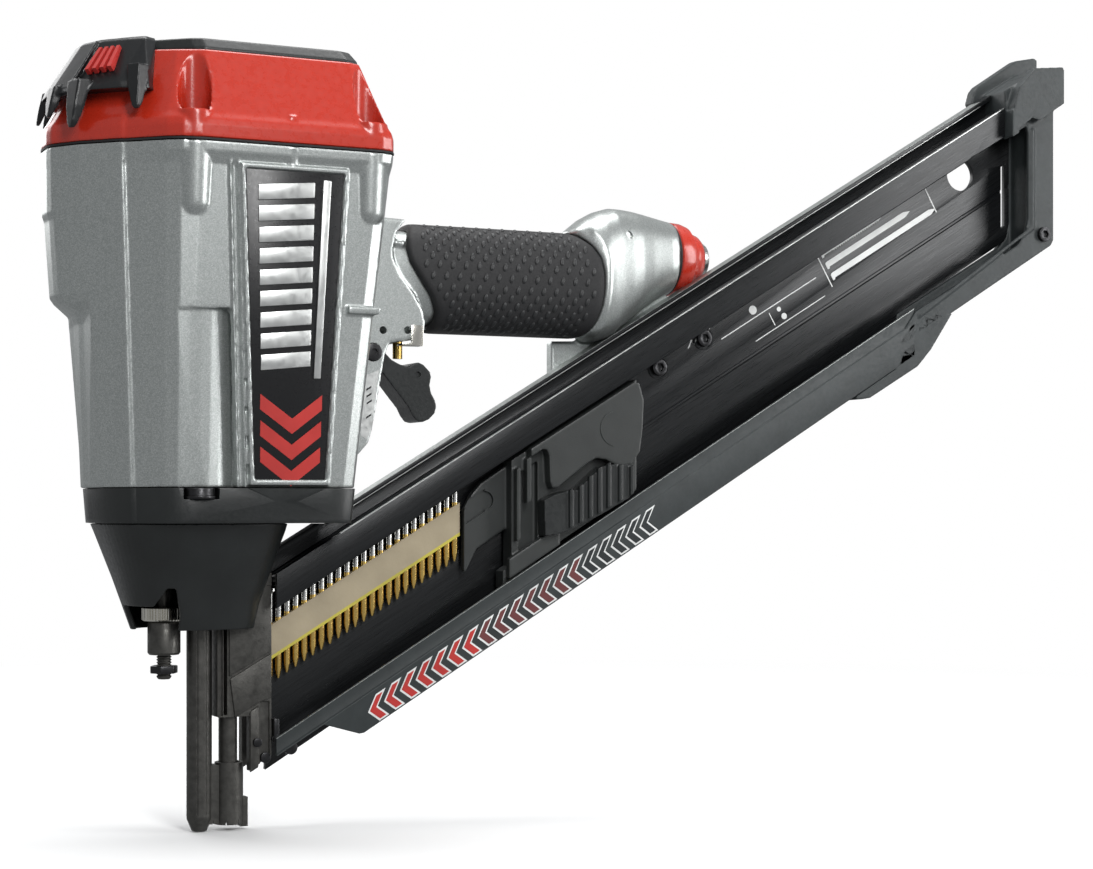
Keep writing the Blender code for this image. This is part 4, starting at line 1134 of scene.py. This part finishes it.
def make_handle():
    def flat(x):
        return lambda z: x

    def step(offset):
        return lambda z: grip_rear(z) + offset

    rings = [
        oval(0, HANDLE_Z, 16.5, 23.0, flat(61.0)),
        oval(0, HANDLE_Z, 16.5, 23.0, step(0.2)),
        oval(0, 121.0, 19.6, 26.6, step(0.3)),
        oval(0.4, 121.8, 20.6, 28.4, lambda z: 0.8 * grip_rear(z) + 0.2 * 197.0 + 0.6),
        oval(1.5, 124.0, 21.8, 31.6, lambda z: 0.45 * grip_rear(z) + 0.55 * 197.0),
        oval(4.0, 126.4, 22.8, 33.4, lambda z: 0.15 * grip_rear(z) + 0.85 * 199.0),
        oval(7.0, 128.8, 23.4, 33.6, flat(204)),
        oval(10.0, 131.5, 23.5, 31.2, flat(211)),
        oval(12.5, 134.0, 23.3, 28.4, flat(218.5)),
        oval(14.8, 136.2, 22.2, 25.4, flat(226)),
        oval(16.6, 137.8, 21.2, 22.8, flat(233)),
        oval(18.2, 139.0, 20.0, 20.6, flat(240)),
        oval(19.0, 139.5, 19.4, 19.4, flat(245)),
    ]
    bracket = [(60.0, 148.5), (84.0, 147.4), (79.4, 141.6), (77.4, 134.5), (77.2, 128.5), (80.7, 120.1),
        (88.5, 110.7),
        (92.7, 103.6), (94.0, 98.0), (93.4, 92.3), (91.0, 89.4), (83.3, 88.2), (75.4, 87.0), (73.0, 81.0),
        (70.4, 66.4),
        (66.4, 44.6), (64.4, 38.3), (59.1, 32.5), (50.5, 29.5)]
    leg = [(174, 92.8), (191, 93.5), (194, 99), (236, 120), (244, 118), (274.5, 118), (276, 116.5),
        (276, 92.5), (238, 67.5),
        (174, 62.5)]
    far = FAR_FACE
    body = carve(plate(bracket, -17.5, 17.5), cut=[box((40, -9.3, 20), (120, 9.3, 90.5))])
    parts = [loft(rings), body, plate(leg, far + 0.5, 15.0)]
    parts.append(rod((62, -17.0, 116), (84, -12.6, 116), 2.0, 16))
    parts.append(rod((62, -15.2, 136), (84, -14.0, 136), 2.0, 16))
    shell = cast(merged(*parts), 0.85, 4, 0.35)
    px, pz = middle_mm("trigger_pin", 0), middle_mm("trigger_pin", 2)
    vx = middle_mm("trigger_valve_body", 0)
    cuts = [
        rod((vx, 0, 70), (vx, 0, 120), 8.4, 40),
        rod((px, -40, pz), (px, 40, pz), 4.6, 40),
        rod((71.9, -40, 93.1), (71.9, 40, 93.1), 1.9, 24),
        rod((84.6, -40, 93.5), (84.6, -10, 93.5), 1.9, 24),
        rod((212.0, -34, 150.5), (208.5, -11, 147.0), 3.0, 24, 2.2),
    ]
    shell = carve(shell, cut=cuts)
    piece("handle_casting", shell, SILVER, "frame", ["handle_frame"])
    clip = carve(box((86.4, -18.4, 86.2), (92.6, -17.3, 96.0)),
        add=[box((81.5, -18.4, 86.0), (92.6, -11.0, 87.2))])
    piece("trigger_guard_clip", bevelled(clip, 0.25), NICKEL, "frame")
    sticker = plate([(61.6, 70.5), (69.7, 73.6), (66.2, 46.0), (63.4, 40.0), (60.4, 42.0)], -17.62, -17.3)
    piece("bracket_plain_sticker", sticker, STICKER, "frame")
    dashes = [plate([(x, z), (x + 2.6, z + 1.6), (x + 2.6, z + 2.5), (x, z + 0.9)], -17.74, -17.5)
        for x, z in ((63.2, 63.5), (63.3, 60.2), (63.4, 56.9), (63.1, 50.0))]
    piece("bracket_sticker_marks", merged(*dashes), LABEL, "frame", smooth=False)


def make_grip():
    half_y, half_z = 20.3, 26.8
    stations = [0.0, 0.008, 0.02, 0.045, 0.2, 0.4, 0.6, 0.8, 0.955, 0.98, 0.992, 1.0]
    drop = [1.6, 0.7, 0.2, 0.0, 0.0, 0.0, 0.0, 0.0, 0.0, 0.2, 0.7, 1.6]
    rings = []
    for share_x, sink in zip(stations, drop):
        def x_at(z, share_x=share_x):
            return grip_front(z) * (1 - share_x) + grip_rear(z) * share_x
        rings.append(oval(0, HANDLE_Z, half_y - sink, half_z - sink, x_at, 120))
    inner = [oval(0, HANDLE_Z, 16.9, 23.4, grip_rear, 120), oval(0, HANDLE_Z, 16.9, 23.4, grip_front, 120)]
    sleeve = loft(rings + inner, closed=True)
    piece("grip_sleeve_skin", sleeve, RUBBER, "frame", ["grip_sleeve"], 50.0)
    bumps = bmesh.new()
    power = 2.4
    for row in range(-17, 18):
        a = math.radians(180 + row * 8.8)
        if abs(row) in (9,):
            continue
        c, s = math.cos(a), math.sin(a)
        y = half_y * math.copysign(abs(c) ** (2 / power), c)
        z = HANDLE_Z + half_z * math.copysign(abs(s) ** (2 / power), s)
        normal = Vector((0, (abs(y) / half_y) ** (power - 1) * math.copysign(1, y) / half_y,
            (abs(z - HANDLE_Z) / half_z) ** (power - 1) * math.copysign(1,
            z - HANDLE_Z) / half_z)).normalized()
        if abs(normal.z) > 0.93:
            continue
        x0, x1 = grip_front(z) + 6.0, grip_rear(z) - 6.0
        x = 104.0 - 7.0 * 4 + (3.5 if row % 2 else 0.0)
        while x < x1:
            if x > x0:
                basis = Matrix.Translation((x, y, z)) @ Matrix((
                    (1, 0, normal.x, 0), (0, -normal.z, normal.y, 0), (0, normal.y, normal.z, 0),
                    (0, 0, 0, 1)))
                tilt = Matrix.Rotation(math.radians(18), 4, "Z")
                size = Matrix.Diagonal((1.15, 2.3, 0.62, 1))
                bmesh.ops.create_uvsphere(bumps, u_segments=10, v_segments=6, radius=1.0,
                    matrix=basis @ tilt @ size)
            x += 7.0
    piece("grip_bumps", to_mesh(bumps), RUBBER_WORN, "frame")


def make_inlet():
    cy, cz = middle_mm("air_inlet", 1), middle_mm("air_inlet", 2)
    x0 = low("handle_rear_cap", 0)
    seal = [(18.8, x0 - 1.5), (19.2, x0 - 1.1), (19.2, x0 - 0.3), (18.5, x0), (11.0, x0), (11.0, x0 - 1.5),
        (18.8, x0 - 1.5)]
    piece("handle_cap_seal_ring", turned(seal, (0, cy, cz), "X"), RUBBER, "frame",
        ["handle_cap_seal"])
    cap = [(10.0, x0), (18.9, x0), (19.5, x0 + 0.6), (19.2, x0 + 5.0), (18.0, x0 + 8.6), (16.8, x0 + 9.4),
        (15.4, x0 + 9.6),
        (14.8, x0 + 10.2), (14.3, x0 + 13.0), (13.4, x0 + 15.6), (11.8, x0 + 17.4), (10.4, x0 + 17.8),
        (10.0, x0 + 17.5), (10.0, x0)]
    cap_mesh = turned(cap, (0, cy, cz), "X", 72)
    piece("handle_rear_cap_shell", cap_mesh, RED, "frame", ["handle_rear_cap"])
    ring = [(7.2, x0 + 0.5), (9.5, x0 + 0.5), (9.5, x0 + 20.4), (9.0, x0 + 21.2), (7.7, x0 + 21.2),
        (7.2, x0 + 20.6), (7.2, x0 + 0.5)]
    piece("air_inlet_ring", turned(ring, (0, cy, cz), "X"), STEEL, "frame", ["air_inlet"])


def make_trigger():
    x, z = middle_mm("trigger_pin", 0), middle_mm("trigger_pin", 2)
    outline = [(x + 6.2 * math.cos(math.radians(d)),
        z + 6.2 * math.sin(math.radians(d))) for d in range(80, 251, 17)]
    outline += [(73.0, 75.6), (78.7, 68.6), (84.5, 61.5), (88.6, 56.6), (90.6, 52.6), (93.0, 49.8),
        (96.0, 49.2), (99.4, 50.6),
        (102.4, 53.6), (103.4, 57.0), (102.6, 60.2), (100.6, 63.6), (99.8, 67.5), (100.6, 71.6),
        (100.0, 74.0),
        (96.4, 77.6), (94.0, 78.6), (91.5, 78.2), (89.4, 76.6), (86.6, 76.7), (83.6, 77.6), (79.7, 79.6),
        (73.4, 85.8)]
    body = cast(plate(outline, -8.6, 8.6), 0.5, 4, 0.4)
    body = carve(body, cut=[rod((x, -30, z), (x, 30, z), 2.7, 32),
        rod((93.5, -12, 72.6), (93.5, -7.6, 72.6), 1.5, 20)])
    piece("trigger_lever", body, BLACK, "trigger", ["trigger"])
    pin = turned([(0, -19.4), (2.4, -19.4), (4.0, -19.0), (4.2, -18.4), (4.2, -17.8), (2.5, -17.8),
        (2.5, 18.6), (2.0, 19.0), (0, 19.0)],
        (x, 0, z), "Y", 40)
    pin = carve(pin, cut=[rod((x, -22, z), (x, -18.6, z), 1.7, 6)])
    piece("trigger_pin_head", pin, BOLT, "frame", ["trigger_pin"])


# Nose -----------------------------------------------------------------------------------

def make_nose():
    column = [(-7.5, -92), (-7.5, -5), (10, -5), (10, -24), (18.6, -24), (18.6, slant_z(18.6, -105)),
        (7.6, slant_z(7.6, -105)), (7.6, -92)]
    nail_way = [(0, -25.5), (40, -25.5), (40, -131), (1, -131), (1, -90.5), (0, -90.5)]
    body = carve(
        plate(column, -8.2, 8.8),
        add=[rod((-6, 0, -9), (-6, 0, -0.8), 20.0, 64), box((-38, -7, -9), (-6, 7, -0.8)),
        rod((0, 0, -137.4), (0, 0, -60), 4.9, 48, None)],
    )
    body = carve(body, cut=[
        rod((0, 0, -200), (0, 0, 50), 3.6, 40),
        plate(nail_way, -3.9, 3.9),
        box((-5.0, -20, -91), (-3.2, -2.0, -28)),
        box((-9.0, -20, -91.5), (-5.4, -6.6, -28)),
        rod((-31.5, 0, -20), (-31.5, 0, 20), 3.9, 40),
        box((13.0, -20, slant_z(12.5, -105) - 4), (17.6, -6.9, -85.0)),
    ])
    piece("nose_column", bevelled(body, 0.3, 1, 40), PHOSPHATED, "frame",
        ["nose_piece"])
    tops = [
        [(-2.4, -30), (18.4, -30), (18.4, -61.0), (-2.4, -72.8)],
        [(-2.0, -74.0), (18.4, -62.3), (18.4, -83.4), (12.3, -85.6), (0.4, -92.2)],
        [(7.8, -90.0), (12.0, -87.2), (12.0, -116.4), (7.8, -118.8)],
    ]
    plates = [bevelled(plate(points, -9.2, -7.8), 0.5, 2) for points in tops]
    piece("nose_side_plates", merged(*plates), PHOSPHATED, "frame")
    pegs = [
        rod((11.2, -10.6, -104.5), (11.2, -6.0, -104.5), 2.2, 24),
        rod((15.4, -9.8, -112.0), (15.4, -5.0, -112.0), 2.6, 24),
        rod((27.6, -11.0, slant_z(27.6, -106.6)), (27.6, -4.0, slant_z(27.6, -106.6)), 3.2, 28),
        rod((20.3, -10.0, -103.0), (20.3, -4.0, -103.0), 2.0, 24),
        plate([(18.9, -93.5), (21.4, -93.5), (21.9, -104.0), (18.9, -104.5)], -11.5, -3.0),
    ]
    piece("nose_hinge_pegs", merged(*[bevelled(p, 0.4, 2) for p in pegs]), BOLT, "frame")


def make_contact():
    bar = middle_mm("contact_spring", 0)
    tip = low("work_contact", 2)
    grooves = []
    for angle in (-1.25, -2.0):
        x, y = bar + 6.2 * math.cos(angle), 6.2 * math.sin(angle)
        grooves.append(rod((x, y, -160), (x, y, -10), 0.55, 12))
    shaft = carve(rod((bar, 0, tip + 7), (bar, 0, -22), 6.0, 56), cut=grooves)
    toe = loft([[(bar + r * math.cos(a), r * math.sin(a),
        z) for a in [2 * math.pi * k / 56 for k in range(56)]]
        for r, z in ((2.6, tip), (3.6, tip + 0.1), (5.9, tip + 5.6), (6.0, tip + 8.0))])
    sleeve = rod((0, 0, -143.5), (0, 0, -114), 6.8, 56)
    sleeve = carve(sleeve, add=[box((bar, -3.5, -143), (-4, 3.5, -115)),
        box((5.0, -2.6, -145), (8.6, 2.6, -131))])
    foot = carve(shaft, add=[toe, sleeve])
    cuts = [
        rod((0, 0, -200), (0, 0, -100), 5.25, 48),
        rod((bar, 0, -40), (bar, 0, 10), 4.4, 40),
    ]
    cuts += [plate([(x - 1.5, tip - 3), (x + 1.5, tip - 3), (x, tip + 5.2)], -12, 12) for x in (-8.6, -2.9,
        2.9)]
    foot = carve(foot, cut=cuts)
    piece("work_contact_foot", bevelled(foot, 0.3, 1, 40), PHOSPHATED, "work_contact",
        ["work_contact"])


def make_depth():
    x = middle_mm("depth_wheel", 0)
    z0, z1 = low("depth_wheel", 2), high("depth_wheel", 2)
    teeth = 40
    rings = []
    for r_out, z in ((9.7, z0), (10.4, z0 + 0.6), (10.4, z1 - 0.6), (9.7, z1)):
        ring = []
        for k in range(teeth * 4):
            a = 2 * math.pi * k / (teeth * 4)
            r = r_out - (0.75 if k % 4 in (0, 1) else 0.0)
            ring.append((x + r * math.cos(a), r * math.sin(a), z))
        rings.append(ring)
    wheel = carve(loft(rings), cut=[rod((x, 0, -60), (x, 0, -30), 3.8, 32)])
    piece("depth_wheel_knurled", wheel, NICKEL, "depth_wheel", ["depth_wheel"], 25.0)
    profile = [(3.8, -62.0), (6.9, -62.0), (7.7, -61.0), (7.7, -47.4), (7.2, -46.6), (3.8, -46.6),
        (3.8, -62.0)]
    piece("depth_sleeve_turned", turned(profile, (x, 0, 0)), PHOSPHATED, "depth_sleeve",
        ["depth_sleeve"])
    thread = [(0, -73.6), (2.6, -73.6), (3.2, -73.0)]
    z = -72.4
    while z < -62.6:
        thread += [(3.5, z), (3.5, z + 0.35), (3.0, z + 0.75), (3.0, z + 0.95)]
        z += 1.3
    thread += [(3.4, -61.6), (3.4, -3.2), (0, -3.2)]
    piece("depth_screw_thread", turned(thread, (x, 0, 0), "Z", 40), PHOSPHATED, "frame",
        ["depth_screw"])
    nut = carve(rod((x, 0, -70.8), (x, 0, -67.2), 6.7, 6), cut=[rod((x, 0, -80), (x, 0, -60), 3.45, 32)])
    piece("depth_lock_nut_hex", bevelled(nut, 0.45, 2), BOLT, "frame",
        ["depth_lock_nut"])


make_housing()
make_labels()
make_cap()
make_deflector()
make_flange()
make_cover()
make_magazine()
make_print()
make_chevrons()
make_lower_rail()
make_magazine_end()
make_nails()
make_follower()
make_latch()
make_handle()
make_grip()
make_inlet()
make_trigger()
make_nose()
make_contact()
make_depth()

for node, obj in frame["nodes"].items():
    slot = SLOTS[node]
    obj.data.materials.clear()
    obj.data.materials.append(FINISH[slot])

make_studio()
